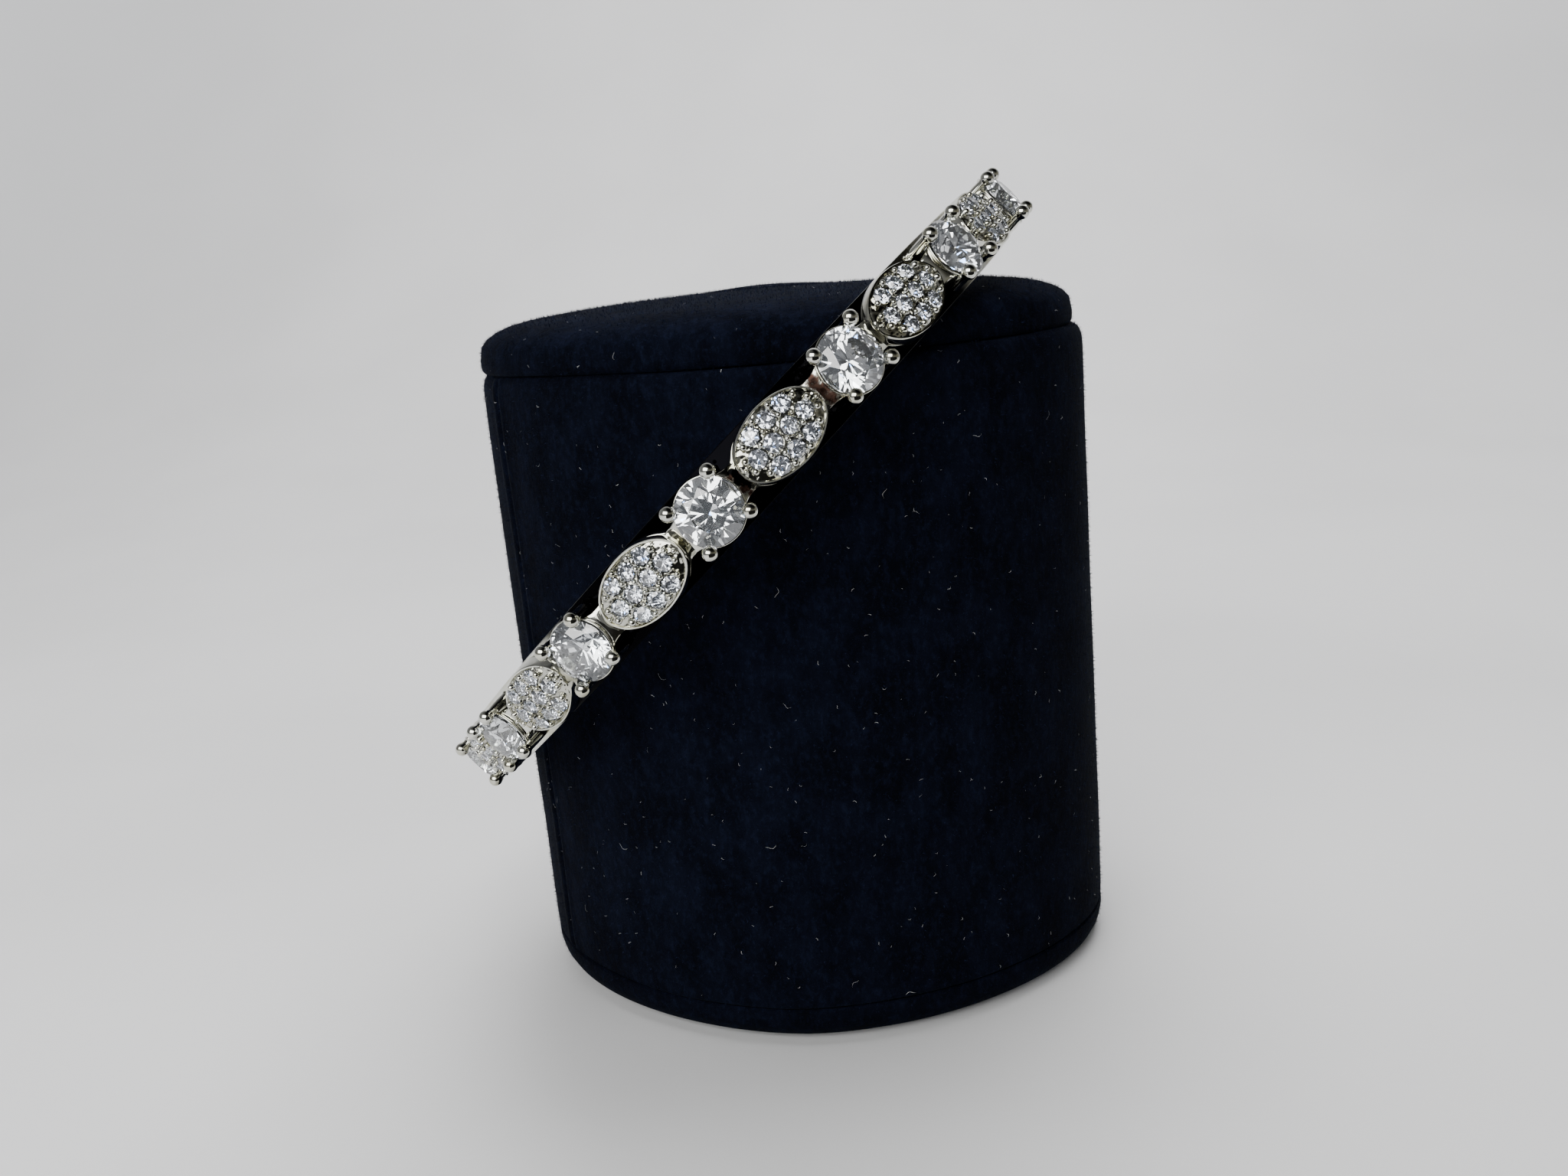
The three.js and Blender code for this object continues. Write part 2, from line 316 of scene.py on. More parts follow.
def plated_metal(finishes, hoop, spots, shade_pockets):
    """Polished plating with a faint film: darker on the worked face between the small
    stones, with painted shade and dark reflection in the recesses over the band and in a
    few pockets, and worn to copper at a few spots. Spots and shade pockets are places and
    their reach, and all lengths are in millimetres."""
    metal = Finish("polished_plating", {"Metallic": 1.0, "IOR": 1.9})
    placement = hoop_placement(hoop).to_3x3()
    axis = placement @ Vector((0, 0, 1))
    front_way = placement @ Vector((cos(FRONT), sin(FRONT), 0))
    centre = tuple(c / MM for c in hoop.centre)
    from_centre = metal.vector("SUBTRACT", metal.place, centre)
    across = metal.vector("DOT_PRODUCT", from_centre, tuple(axis))
    reach = (metal.vector("DOT_PRODUCT", from_centre, from_centre) - across * across) ** 0.5
    face = (hoop.inner_radius + hoop.band_thickness) / MM
    off = metal.math("ABSOLUTE", across)
    # Painted shade and dark reflection lie on the band's face and climb a little up what
    # stands on it, higher along the band's edges.
    climb = reach - off.rise(1.35, 1.6) * 0.5
    on_face = reach.rise(face - 0.2, face - 0.1)
    recess_shade = on_face * (1 - climb.rise(face + 0.1, face + 0.35))
    # Only at the front, and further round on the low side, does the painted shade cover the edges
    # too.
    front = metal.vector("DOT_PRODUCT", from_centre, tuple(front_way)) / reach
    low_side = 1 - across.rise(-0.1, 0.1)
    front = front + low_side * 0.12
    unshaded_edge = (off - low_side * 0.45).rise(1.75, 1.9) * (1 - front.rise(0.8, 0.86))
    recess_shade = recess_shade * (1 - unshaded_edge)
    film = metal.noise(metal.place, 0.45, 3.0).rise(0.45, 0.7) * 0.75
    grain = metal.noise(metal.place, 2.6, 4.0, 0.65)
    wear = None
    for place, size in spots:
        away = metal.vector("DISTANCE", metal.place, place) / size
        spot = (1.25 - away + (grain - 0.5) * 1.7).rise(0.15, 0.75)
        wear = spot if wear is None else metal.math("MAXIMUM", wear, spot)
    base = metal.blend(film, rgba(finishes.plating), rgba(finishes.film))
    worked = metal.add("ShaderNodeAttribute", {"attribute_name": "worked"}).value("Fac")
    # The worked face between the small stones is darkened.
    base = metal.blend(worked * 0.35, base, rgba(finishes.darker_face))
    # Painted shade and dark reflection in a few pockets.
    for place, size in shade_pockets:
        away = metal.vector("DISTANCE", metal.place, place)
        recess_shade = metal.math("MAXIMUM", recess_shade, 1 - away.rise(size * 0.85, size))
    # Here the painted shade and dark reflection are laid on the metal's colour.
    base = metal.blend(recess_shade, base, rgba(finishes.recess_shade))
    bare = metal.blend(grain.rise(0.4, 0.6), scaled(finishes.tarnish, 0.3), rgba(finishes.tarnish))
    metal.feed("Base Color", metal.blend(wear, base, bare))
    smudge = metal.noise(metal.place, 1.3, 3.0)
    metal.feed("Roughness", (smudge.rise(0.4, 0.75) * 0.1 + 0.055 + wear * 0.38).clamped())
    ripple = metal.noise(metal.place, 1.1, 2.0) + wear * grain * 1.5
    metal.bump(ripple, 0.02 * MM, 0.6)
    return metal.material


def cut_stone(name, shade):
    """Clear stone, with a breath of blue and a few faint smears on its facets."""
    stone = Finish(name, {"Transmission Weight": 0.97, "IOR": 2.17})
    cloud = stone.noise(stone.place, 0.6, 2.0)
    pale = rgba(shade)
    cool = (pale[0] * 0.93, pale[1] * 0.965, pale[2], 1.0)
    stone.feed("Base Color", stone.blend(cloud.rise(0.35, 0.7), pale, cool))
    smear = stone.noise(stone.place, 2.2, 2.0)
    stone.feed("Roughness", smear.rise(0.62, 0.8) * 0.03)
    return stone.material


def black_velvet(finishes):
    """Black velvet: a short pile, crushed in patches, with flecks and a faint blue sheen."""
    constants = {
        "Sheen Weight": 0.1,
        "Sheen Roughness": 0.3,
        "Sheen Tint": rgba(finishes.sheen),
        "Specular IOR Level": 0.03,
    }
    cloth = Finish("black_velvet", constants)
    crushed = cloth.noise(cloth.stretched(cloth.place, (0.3, 0.3, 0.18)), 1.0, 5.0, 0.65)
    pile = cloth.noise(cloth.stretched(cloth.place, (1, 1, 0.6)), 1.9, 4.0, 0.75)
    flecks = cloth.noise(cloth.place, 4.5, 2.0)
    shade = crushed.rise(0.35, 0.7) * 0.35 + pile.rise(0.45, 0.72) * 0.5
    shade = (shade + flecks.rise(0.6, 0.75) * 0.5).clamped()
    deep, light = scaled(finishes.velvet, 0.7), scaled(finishes.velvet, 4.5)
    cloth.feed("Base Color", cloth.blend(shade, deep, light))
    cloth.feed("Roughness", (0.82 + pile * 0.16).clamped())
    cloth.bump(pile + crushed * 0.5, 0.12 * MM, 0.8)
    return cloth.material


def pile_fibre(finishes):
    """The pile's own fibres, lighter than the cloth that they stand on."""
    fibre = Finish("pile_fibre", {"Roughness": 0.8, "Specular IOR Level": 0.05})
    patch = fibre.noise(fibre.place, 3.0, 2.0)
    deep, light = scaled(finishes.velvet, 2.0), scaled(finishes.velvet, 16.0)
    fibre.feed("Base Color", fibre.blend(patch.rise(0.45, 0.8), deep, light))
    return fibre.material


def lint_fibre():
    """Loose hairs, a little paler than the velvet."""
    fibre = Finish("lint_fibre", {"Roughness": 0.8, "Specular IOR Level": 0.05})
    patch = fibre.noise(fibre.place, 1.4, 2.0)
    dull = (0.004, 0.005, 0.008, 1)
    pale = (0.012, 0.014, 0.02, 1)
    fibre.feed("Base Color", fibre.blend(patch.rise(0.45, 0.75), dull, pale))
    return fibre.material


def pale_floor(finishes):
    """A pale floor that fades into the plain surround, well away from the stand."""
    floor = Finish("pale_floor", {"Sheen Weight": 0.15})
    cloud = floor.noise(floor.place, 0.012, 3.0)
    light, dark = rgba(finishes.floor), scaled(finishes.floor, 0.93)
    floor.feed("Base Color", floor.blend(cloud.rise(0.35, 0.7), light, dark))
    weave = floor.noise(floor.stretched(floor.place, (0.3, 3.0, 1)), 1.2, 2.0)
    floor.feed("Roughness", 0.42 + weave * 0.16)
    floor.bump(weave, 0.02 * MM, 0.25)
    away = floor.vector("LENGTH", floor.stretched(floor.place, (1, 1, 0)))
    far = away.rise(400, 650) * floor.add("ShaderNodeLightPath").value("Is Camera Ray")
    plain = floor.add("ShaderNodeEmission", {}, {"Color": SURROUND})
    near = Value(floor, floor.shader.outputs["BSDF"])
    faded = floor.add("ShaderNodeMixShader", {}, {0: far, 1: near, 2: plain}).value()
    floor.tree.links.new(faded.socket, floor.tree.nodes["Material Output"].inputs["Surface"])
    return floor.material


# ---------------------------------------------------------------- meshes


def linked(name, data):
    """A new object in the scene, at the origin."""
    piece = bpy.data.objects.new(name, data)
    bpy.context.scene.collection.objects.link(piece)
    return piece


def copied(name):
    """A spare copy of a piece."""
    return linked(name + "_copy", bpy.data.objects[name].data.copy())


@contextmanager
def edited(mesh):
    """Opens a mesh for editing."""
    work = bmesh.new()
    work.from_mesh(mesh)
    yield work
    work.to_mesh(mesh)
    work.free()


def crisp(work, degrees=38):
    """Keeps the creases of a smooth surface that turn more than an angle."""
    for joint in work.edges:
        if len(joint.link_faces) == 2 and joint.calc_face_angle() > radians(degrees):
            joint.smooth = False


def mesh_object(name, points, faces, smooth=True):
    """A new object at the origin, closed and facing outwards."""
    mesh = bpy.data.meshes.new(name)
    mesh.from_pydata([tuple(p) for p in points], [], faces)
    with edited(mesh) as work:
        bmesh.ops.remove_doubles(work, verts=work.verts, dist=1e-7)
        bmesh.ops.recalc_face_normals(work, faces=work.faces)
        for face in work.faces:
            face.smooth = smooth
        crisp(work)
    return linked(name, mesh)


def joined(name, pieces):
    """Several objects' meshes as one new object."""
    mesh = bpy.data.meshes.new(name)
    with edited(mesh) as work:
        for piece in pieces:
            work.from_mesh(piece.data)
            bpy.data.objects.remove(piece)
    return linked(name, mesh)


def skin(rings, close_rings=False, cap=True):
    """Points and faces through rings of equally many points."""
    sides = len(rings[0])
    points = [p for ring in rings for p in ring]
    faces = []
    count = len(rings)
    for level in range(count if close_rings else count - 1):
        low = level * sides
        high = (level + 1) % count * sides
        for i in range(sides):
            j = (i + 1) % sides
            faces.append((low + i, low + j, high + j, high + i))
    if cap and not close_rings:
        for first, flip in ((0, True), ((count - 1) * sides, False)):
            middle = sum((Vector(p) for p in rings[first // sides]), Vector()) / sides
            points.append(middle)
            for i in range(sides):
                j = (i + 1) % sides
                face = (first + i, first + j, len(points) - 1)
                faces.append(face[::-1] if flip else face)
    return points, faces


def turned(name, profile, sides, closed=False):
    """A body turned about Z from (radius, height) points."""
    rings = [
        [(r * cos(2 * pi * i / sides), r * sin(2 * pi * i / sides), z) for i in range(sides)]
        for r, z in profile
    ]
    points, faces = skin(rings, close_rings=closed)
    return mesh_object(name, points, faces)


def arc(middle, radius, start, end, steps):
    """Points along an arc of a profile, from one angle to another in degrees."""
    turns = [radians(start + (end - start) * i / steps) for i in range(steps + 1)]
    return [(middle[0] + radius * cos(t), middle[1] + radius * sin(t)) for t in turns]


def hoop_placement(sizes):
    """From the hoop's own frame, whose axis is Z, to its place on the stand."""
    turn = Matrix.Rotation(sizes.turn, 4, "Z") @ Matrix.Rotation(-sizes.tilt, 4, "Y")
    return Matrix.Translation(sizes.centre) @ turn


def on_band(sizes, turn):
    """A piece's frame on the band: X along it, Y across it, Z outwards from its inside."""
    outwards = Vector((cos(turn), sin(turn), 0))
    along = Vector((-sin(turn), cos(turn), 0))
    place = Matrix((along, Vector((0, 0, 1)), outwards)).transposed().to_4x4()
    place.translation = outwards * sizes.inner_radius
    return place


# Its sockets 0 and 1 are the limits of a random vector, and 2 and 3 those of a number,
# which is its output 1.
RANDOM = "FunctionNodeRandomValue"
ATTRIBUTE = "GeometryNodeInputNamedAttribute"
SCATTER_INPUTS = [
    ("Piece", "Object"),
    ("Lean", "Float"),
    ("Seed", "Int"),
    ("Finish", "Material"),
]


def geometry_tree(name, inputs):
    """An empty Geometry Nodes tree with named inputs, and its group input and output."""
    tree = bpy.data.node_groups.new(name, "GeometryNodeTree")
    sockets = tree.interface
    sockets.new_socket("Geometry", in_out="INPUT", socket_type="NodeSocketGeometry")
    for label, kind in inputs:
        sockets.new_socket(label, in_out="INPUT", socket_type="NodeSocket" + kind)
    sockets.new_socket("Geometry", in_out="OUTPUT", socket_type="NodeSocketGeometry")
    nodes = Nodes(tree)
    return nodes, nodes.add("NodeGroupInput")


def finish_tree(nodes, geometry, given):
    """Ends a tree with Realize Instances and Set Material."""
    plain = nodes.add("GeometryNodeRealizeInstances", {}, {"Geometry": geometry})
    sockets = {"Geometry": plain, "Material": given.value("Finish")}
    finished = nodes.add("GeometryNodeSetMaterial", {}, sockets)
    nodes.add("NodeGroupOutput", {"is_active_output": True}, {"Geometry": finished})
    return nodes.tree


def grown(name, base, tree, values):
    """The plain mesh object that a tree grows from a base object, which is used up."""
    modifier = base.modifiers.new(name, "NODES")
    modifier.node_group = tree
    for item in tree.interface.items_tree:
        if item.item_type == "SOCKET" and item.in_out == "INPUT" and item.name in values:
            modifier[item.identifier] = values[item.name]
    base.update_tag()
    graph = bpy.context.evaluated_depsgraph_get()
    mesh = bpy.data.meshes.new_from_object(base.evaluated_get(graph), depsgraph=graph)
    base.modifiers.remove(modifier)
    bpy.data.objects.remove(base)
    if not mesh.polygons:
        raise RuntimeError(name + " grew no faces")
    mesh.name = name
    mesh.materials.clear()
    mesh.materials.append(values["Finish"])
    mesh.polygons.foreach_set("material_index", [0] * len(mesh.polygons))
    return linked(name, mesh)


def hoop_array_tree():
    """Repeats a piece round the hoop, facing outwards, and hangs the hoop in its place."""
    inputs = [
        ("Count", "Int"),
        ("Radius", "Float"),
        ("First angle", "Float"),
        ("Centre", "Vector"),
        ("Lean", "Vector"),
        ("Finish", "Material"),
    ]
    nodes, given = geometry_tree("hoop_array", inputs)
    step = 2 * pi / given.value("Count")
    turn = nodes.add("GeometryNodeInputIndex").value() * step + given.value("First angle")
    radius = given.value("Radius")
    spot = {"X": nodes.math("COSINE", turn) * radius, "Y": nodes.math("SINE", turn) * radius}
    place = nodes.add("ShaderNodeCombineXYZ", {}, spot)
    sockets = {"Count": given.value("Count"), "Position": place}
    spots = nodes.add("GeometryNodePoints", {}, sockets)
    facing = nodes.add("ShaderNodeCombineXYZ", {}, {"X": pi / 2, "Z": turn + pi / 2})
    sockets = {"Points": spots, "Instance": given.value("Geometry"), "Rotation": facing}
    copies = nodes.add("GeometryNodeInstanceOnPoints", {}, sockets)
    sockets = {
        "Geometry": copies,
        "Translation": given.value("Centre"),
        "Rotation": given.value("Lean"),
    }
    hung = nodes.add("GeometryNodeTransform", {}, sockets)
    return finish_tree(nodes, hung, given)


def scattered(nodes, given, points, rotation, size):
    """Ends a tree with copies of a small piece on points, each leaning and turned at random."""
    seed = given.value("Seed")
    lean = given.value("Lean")
    low = nodes.add("ShaderNodeCombineXYZ", {}, {"X": 0 - lean, "Y": 0 - lean, "Z": -pi})
    high = nodes.add("ShaderNodeCombineXYZ", {}, {"X": lean, "Y": lean, "Z": pi})
    wobble = nodes.add(RANDOM, {"data_type": "FLOAT_VECTOR"}, {0: low, 1: high, "Seed": seed})
    sockets = {"Rotation": rotation, "Rotate By": wobble}
    leaning = nodes.add("FunctionNodeRotateRotation", {"rotation_space": "LOCAL"}, sockets)
    settings = {"transform_space": "ORIGINAL"}
    copy = nodes.add("GeometryNodeObjectInfo", settings, {"Object": given.value("Piece")})
    sockets = {
        "Points": points,
        "Instance": copy.value("Geometry"),
        "Rotation": leaning,
        "Scale": size,
    }
    return finish_tree(nodes, nodes.add("GeometryNodeInstanceOnPoints", {}, sockets), given)


def seated_tree():
    """Sets copies of a small piece on points, along each point's own "facing"."""
    inputs = [("Size change", "Float")] + SCATTER_INPUTS
    nodes, given = geometry_tree("seated_pieces", inputs)
    facing = nodes.add(ATTRIBUTE, {"data_type": "FLOAT_VECTOR"}, {"Name": "facing"})
    aligned = nodes.add("FunctionNodeAlignRotationToVector", {"axis": "Z"}, {"Vector": facing})
    change = given.value("Size change")
    sockets = {2: 1 - change, 3: change + 1, "Seed": given.value("Seed")}
    size = nodes.add(RANDOM, {"data_type": "FLOAT"}, sockets).value(1)
    share = nodes.add(ATTRIBUTE, {"data_type": "FLOAT"}, {"Name": "share"}).value()
    return scattered(nodes, given, given.value("Geometry"), aligned, size * share)


def pile_tree():
    """Stands fibres at random over a surface."""
    inputs = [("Density", "Float"), ("Shortest", "Float")] + SCATTER_INPUTS
    nodes, given = geometry_tree("velvet_pile", inputs)
    surface = {"Mesh": given.value("Geometry")}
    surface.update((name, given.value(name)) for name in ("Density", "Seed"))
    spread = nodes.add("GeometryNodeDistributePointsOnFaces", {}, surface)
    sockets = {2: given.value("Shortest"), 3: 1.0, "Seed": given.value("Seed") + 7}
    size = nodes.add(RANDOM, {"data_type": "FLOAT"}, sockets).value(1)
    return scattered(nodes, given, spread.value("Points"), spread.value("Rotation"), size)


def made_once(name, make):
    """A material or node tree that several operators share."""
    found = bpy.data.materials.get(name) or bpy.data.node_groups.get(name)
    return found or make()


def placed(sizes, spots):
    """Spots on the hoop as places in millimetres, each with its reach."""
    found = []
    for turn, outwards, across, reach in spots:
        seat = hoop_placement(sizes) @ on_band(sizes, radians(turn))
        found.append((tuple(seat @ Vector((0, across * MM, outwards * MM)) / MM), reach))
    return found


def shared_metal(scene):
    """The plated metal, made by whichever piece first needs it."""

    def make():
        sizes = scene.hoop_sizes
        spots, shade_pockets = placed(sizes, TARNISH), placed(sizes, SHADE_POCKETS)
        return plated_metal(scene.finishes, sizes, spots, shade_pockets)

    return made_once("polished_plating", make)


def shared_velvet(scene):
    """The velvet, likewise."""
    return made_once("black_velvet", lambda: black_velvet(scene.finishes))


def settle(piece, material=None):
    """Hands a finished piece to the frame."""
    if material:
        piece.data.materials.clear()
        piece.data.materials.append(material)
    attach(piece, "root")
    return piece


def round_the_hoop(name, base, scene, material, first):
    """Repeats base at each setting's pitch, starting at an angle."""
    sizes = scene.hoop_sizes
    values = {
        "Count": sizes.settings,
        "Radius": sizes.inner_radius,
        "First angle": first,
        "Centre": tuple(sizes.centre),
        "Lean": (0.0, -sizes.tilt, sizes.turn),
        "Finish": material,
    }
    return grown(name, base, made_once("hoop_array", hoop_array_tree), values)


# ---------------------------------------------------------------- the bangle


# The angle round the hoop at which the painted shade covers the band's edges too
FRONT = radians(-77)
# Worn spots: angle round the hoop in degrees, outwards and across in mm, reach in mm
TARNISH = [
    (-61.8, 2.1, 0.0, 0.75),
    (-61.9, 2.1, 0.9, 0.7),
    (-61.7, 2.1, -0.9, 0.7),
    (-62.7, 1.9, 1.6, 0.5),
    (-76.6, 2.1, -0.7, 0.5),
    (-76.8, 2.1, 0.5, 0.4),
    (-76.2, 2.0, -1.3, 0.4),
]
# Pockets of painted shade and dark reflection, placed likewise
SHADE_POCKETS = [(-76.0, 2.0, 0.0, 0.5), (-76.0, 1.9, 0.65, 0.42), (-76.0, 1.9, -0.65, 0.42)]
BAND_SIDES = 480
DRILL_SIDES = 32
DRILL_REACH = 1.5 * MM


class BANGLE_OT_band(bpy.types.Operator):
    """Makes the polished hoop, with a hole behind each round stone"""

    bl_idname = "bangle.band"
    bl_label = "Band"

    def execute(self, context):
        scene = context.scene
        sizes = scene.hoop_sizes
        half = sizes.band_width / 2
        edge = sizes.band_edge
        inner = sizes.inner_radius
        outer = inner + sizes.band_thickness
        corners = (
            (inner + edge, edge - half, 180, 270),
            (outer - edge, edge - half, 270, 360),
            (outer - edge, half - edge, 0, 90),
            (inner + edge, half - edge, 90, 180),
        )
        section = []
        for r, z, start, end in corners:
            section += arc((r, z), edge, start, end, 4)
        band = turned("band", section, BAND_SIDES, closed=True)
        hole = scene.setting_sizes.hole_radius
        drills = []
        for i in range(sizes.settings):
            drill = turned("drill", [(hole, -DRILL_REACH), (hole, DRILL_REACH)], DRILL_SIDES)
            seat = on_band(sizes, sizes.first_setting + i * 2 * pi / sizes.settings)
            drill.data.transform(seat)
            drills.append(drill)
        drill = joined("drills", drills)
        cut = band.modifiers.new("holes", "BOOLEAN")
        cut.object = drill
        cut.operation = "DIFFERENCE"
        cut.solver = "EXACT"
        graph = context.evaluated_depsgraph_get()
        mesh = bpy.data.meshes.new_from_object(band.evaluated_get(graph), depsgraph=graph)
        band.modifiers.clear()
        band.data = mesh
        bpy.data.objects.remove(drill)
        with edited(mesh) as work:
            crisp(work)
        mesh.transform(hoop_placement(sizes))
        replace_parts(settle(band, shared_metal(scene)), "bangle_frame")
        return {"FINISHED"}


COLLET_SIDES = 72
PRONG_SIDES = 24
# Where a ball starts from its stem, in degrees below its middle
STEM_MEETS_BALL = -44


def collet_profile(sizes):
    """The cup's section: up the flared outside, over the lip and down the stone's seat."""
    lip = sizes.lip_radius
    top = sizes.lip_height
    hole = sizes.hole_radius
    # Each point is a radius and a height.
    outside = [
        (1.72 * MM, 0.1 * MM),
        (1.76 * MM, 0.6 * MM),
        (1.88 * MM, 1.1 * MM),
        (2.1 * MM, 1.6 * MM),
        (2.38 * MM, 2.0 * MM),
        (lip - 0.02 * MM, top - 0.16 * MM),
    ]
    bead = 0.09 * MM
    over = arc((lip - bead, top - 0.08 * MM), bead, 10, 170, 6)
    inside = [
        (2.38 * MM, top - 0.2 * MM),
        (2.1 * MM, 2.0 * MM),
        (hole, 1.2 * MM),
        (hole, 0.1 * MM),
    ]
    return outside + over + inside


def prong(sizes, along, across):
    """A stem and its ball tip, turned as one piece."""
    stem = sizes.stem_radius
    ball = sizes.ball_radius
    height = sizes.ball_height
    foot, bulge = 0.2 * MM, 1.4 * MM
    profile = [(0, foot), (stem * 0.92, foot), (stem, bulge)]
    profile.append((stem * 0.96, height - ball * 0.95))
    profile += arc((0, height), ball, STEM_MEETS_BALL, 90, 14)
    piece = turned("prong", profile, PRONG_SIDES)
    piece.data.transform(Matrix.Translation((along, across, 0)))
    return piece


class BANGLE_OT_settings(bpy.types.Operator):
    """Makes the collets and their ball-tipped prongs"""

    bl_idname = "bangle.settings"
    bl_label = "Settings"

    def execute(self, context):
        scene = context.scene
        sizes = scene.setting_sizes
        pieces = [turned("collet", collet_profile(sizes), COLLET_SIDES, closed=True)]
        for end in (-1, 1):
            for side in (-1, 1):
                pieces.append(prong(sizes, end * sizes.ball_along, side * sizes.ball_across))
        base = joined("setting", pieces)
        metal = shared_metal(scene)
        first = scene.hoop_sizes.first_setting
        settings = round_the_hoop("settings", base, scene, metal, first)
        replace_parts(settle(settings), "bangle_frame")
        return {"FINISHED"}


# Places on a plate, in millimetres along and across it, and their size's share
SMALL_STONES = [(s * u, 0, 1) for u in (0.83, 2.38) for s in (-1, 1)] + [
    (u, v, 1) for u in (-1.6, 0, 1.6) for v in (-1.47, 1.47)
]
BEADS = [
    (s * u, t * v, share)
    for u, v, share in (
        (0.78, 1.04, 1.1),
        (1.57, 0.52, 1.1),
        (0.8, 2.0, 1.25),
        (2.5, 1.25, 1.4),
        (3.12, 0.48, 1.35),
    )
    for s in (-1, 1)
    for t in (-1, 1)
] + [(0, 0.5, 1), (0, -0.5, 1), (3.55, 0, 0.9), (-3.55, 0, 0.9)]
# Casting grains left beside the necks on the band
GRAINS = [
    (s * u, t * v, share)
    for s, t, spots in (
        (-1, -1, ((4.5, 1.75, 0.9), (4.75, 2.05, 1.2), (4.2, 2.1, 0.6))),
        (-1, 1, ((4.6, 1.8, 1.1), (4.35, 2.15, 0.8), (4.9, 2.3, 0.7))),
        (1, -1, ((4.4, 1.8, 0.8), (4.7, 2.1, 0.6))),
        (1, 1, ((4.45, 1.9, 1.2), (4.7, 2.2, 1.0), (4.2, 2.3, 0.7), (4.8, 1.8, 0.8))),
    )
    for u, v, share in spots
]
STONE_LIFT = 0.08 * MM
BEAD_LIFT = 0.24 * MM
GRAIN_LIFT = 0.06 * MM
# How far they lean at most in degrees, how much their size varies, and a seed
STONE_SPREAD = (5, 0.03, 4)
BEAD_SPREAD = (14, 0.16, 11)
CUP_EDGE = 0.13 * MM
# From the middle of a plate: to the middle of the next collet, and to where the necks
# begin, flare and climb
COLLET_PITCH = 7.26 * MM
NECK_START = 4.2 * MM
FLARE_START = 4.25 * MM
CLIMB_START = 3.7 * MM
CLIMB_LENGTH = 1.05 * MM
FOOT_POINTS = 120
OVAL_SIDES = 128
OVAL_ROWS = 27
# The rough metal's grain, and how much of the plate's edge stands up round its face
ROUGH_GRAIN = 0.3 * MM
BROW_START = 0.82
BROW_RISE = 0.7 * MM
# How far a piece's surface wanders, and over what distance
PLATE_WANDER = (0.02 * MM, 1.6 * MM)


def almond_half_width(sizes, along):
    """Half the foot's width: an almond that sweeps into a flared neck at each end."""
    half = sizes.foot_width / 2
    share = min(1.0, abs(along) / (sizes.foot_length / 2))
    almond = half * (1 - share**2) ** 0.5
    flare = max(0.0, abs(along) - FLARE_START) / MM
    neck = sizes.neck_width / 2 + 0.9 * flare**2 * MM
    fillet = 0.22 * MM
    step = min(max(0.5 + 0.5 * (almond - neck) / fillet, 0), 1)
    return neck + (almond - neck) * step + fillet * step * (1 - step)


def foot_outline(sizes):
    """Points round the foot, denser towards its two ends."""
    end = sizes.neck_length / 2
    half = FOOT_POINTS // 2
    stations = [end * cos(pi * (i + 0.5) / half) for i in range(half)]
    upper = [(u, almond_half_width(sizes, u)) for u in stations]
    return upper + [(u, -w) for u, w in reversed(upper)]


def round_collet(sizes, x, y):
    """Draws the necks' ends out to follow the collets' round rims."""
    end = sizes.neck_length / 2
    reach = COLLET_PITCH - end
    lag = reach - sqrt(reach * reach - min(abs(y), reach) ** 2)
    share = min(max((abs(x) - NECK_START) / (end - NECK_START), 0), 1)
    return x + (lag * share if x > 0 else -lag * share)


def inwards(outline, inset):
    """An outline drawn in by the same distance all round."""
    moved = []
    for i, (x, y) in enumerate(outline):
        before = outline[i - 1]
        after = outline[(i + 1) % len(outline)]
        dx, dy = after[0] - before[0], after[1] - before[1]
        size = hypot(dx, dy) or 1
        moved.append((x - dy / size * inset, y + dx / size * inset))
    return moved


def foot_height(sizes, along):
    """Height of the foot's top, which climbs along the necks."""
    share = min(max((abs(along) - CLIMB_START) / CLIMB_LENGTH, 0), 1)
    return sizes.foot_height + sizes.neck_rise * share * share * (3 - 2 * share)


def plate_dome(sizes, u, v):
    """Height of the plate's domed face at a place on it."""
    a = sizes.length / 2 - sizes.rim_width
    b = sizes.width / 2 - sizes.rim_width
    share = min(1.0, (u / a) ** 2 + (v / b) ** 2)
    low = sizes.rim_height - 0.1 * MM
    return low + (sizes.dome_height - low) * (1 - share) ** 0.8


def plate_face(sizes, u, v):
    """The dome as it is worked: a cup with a raised edge at each small stone, and rough
    metal between."""
    height = plate_dome(sizes, u, v)
    out = (u / sizes.length * 2) ** 2 + (v / sizes.width * 2) ** 2
    rough = noise.noise(Vector((u, v, 0)) / ROUGH_GRAIN)
    height += rough * (0.02 + 0.12 * out * out) * MM
    height += max(0.0, out - BROW_START) * BROW_RISE
    radius = sizes.stone_diameter / 2
    for su, sv, _ in SMALL_STONES:
        su, sv = su * MM, sv * MM
        away = hypot(u - su, v - sv) - radius
        girdle = plate_dome(sizes, su, sv) + STONE_LIFT
        if away < 0:
            return girdle - 0.1 * MM + away * 0.95
        if away < CUP_EDGE:
            share = away / CUP_EDGE
            edge = girdle - 0.04 * MM
            return edge + (height - edge) * share + sin(pi * share) * 0.05 * MM
    return height


def plate_base(sizes):
    """The foot, and on it the oval plate with its rim and worked face."""
    plate = joined("plate", [plate_foot(sizes), plate_oval(sizes)])
    a, b = (across / 2 - sizes.rim_width for across in (sizes.length, sizes.width))
    # The worked face is what lies up on the plate, well inside its polished rim.
    inside = [
        float(z > sizes.rim_height - 0.3 * MM and (x / a) ** 2 + (y / b) ** 2 < 0.93)
        for x, y, z in (point.co for point in plate.data.vertices)
    ]
    plate.data.attributes.new("worked", "FLOAT", "POINT").data.foreach_set("value", inside)
    return plate


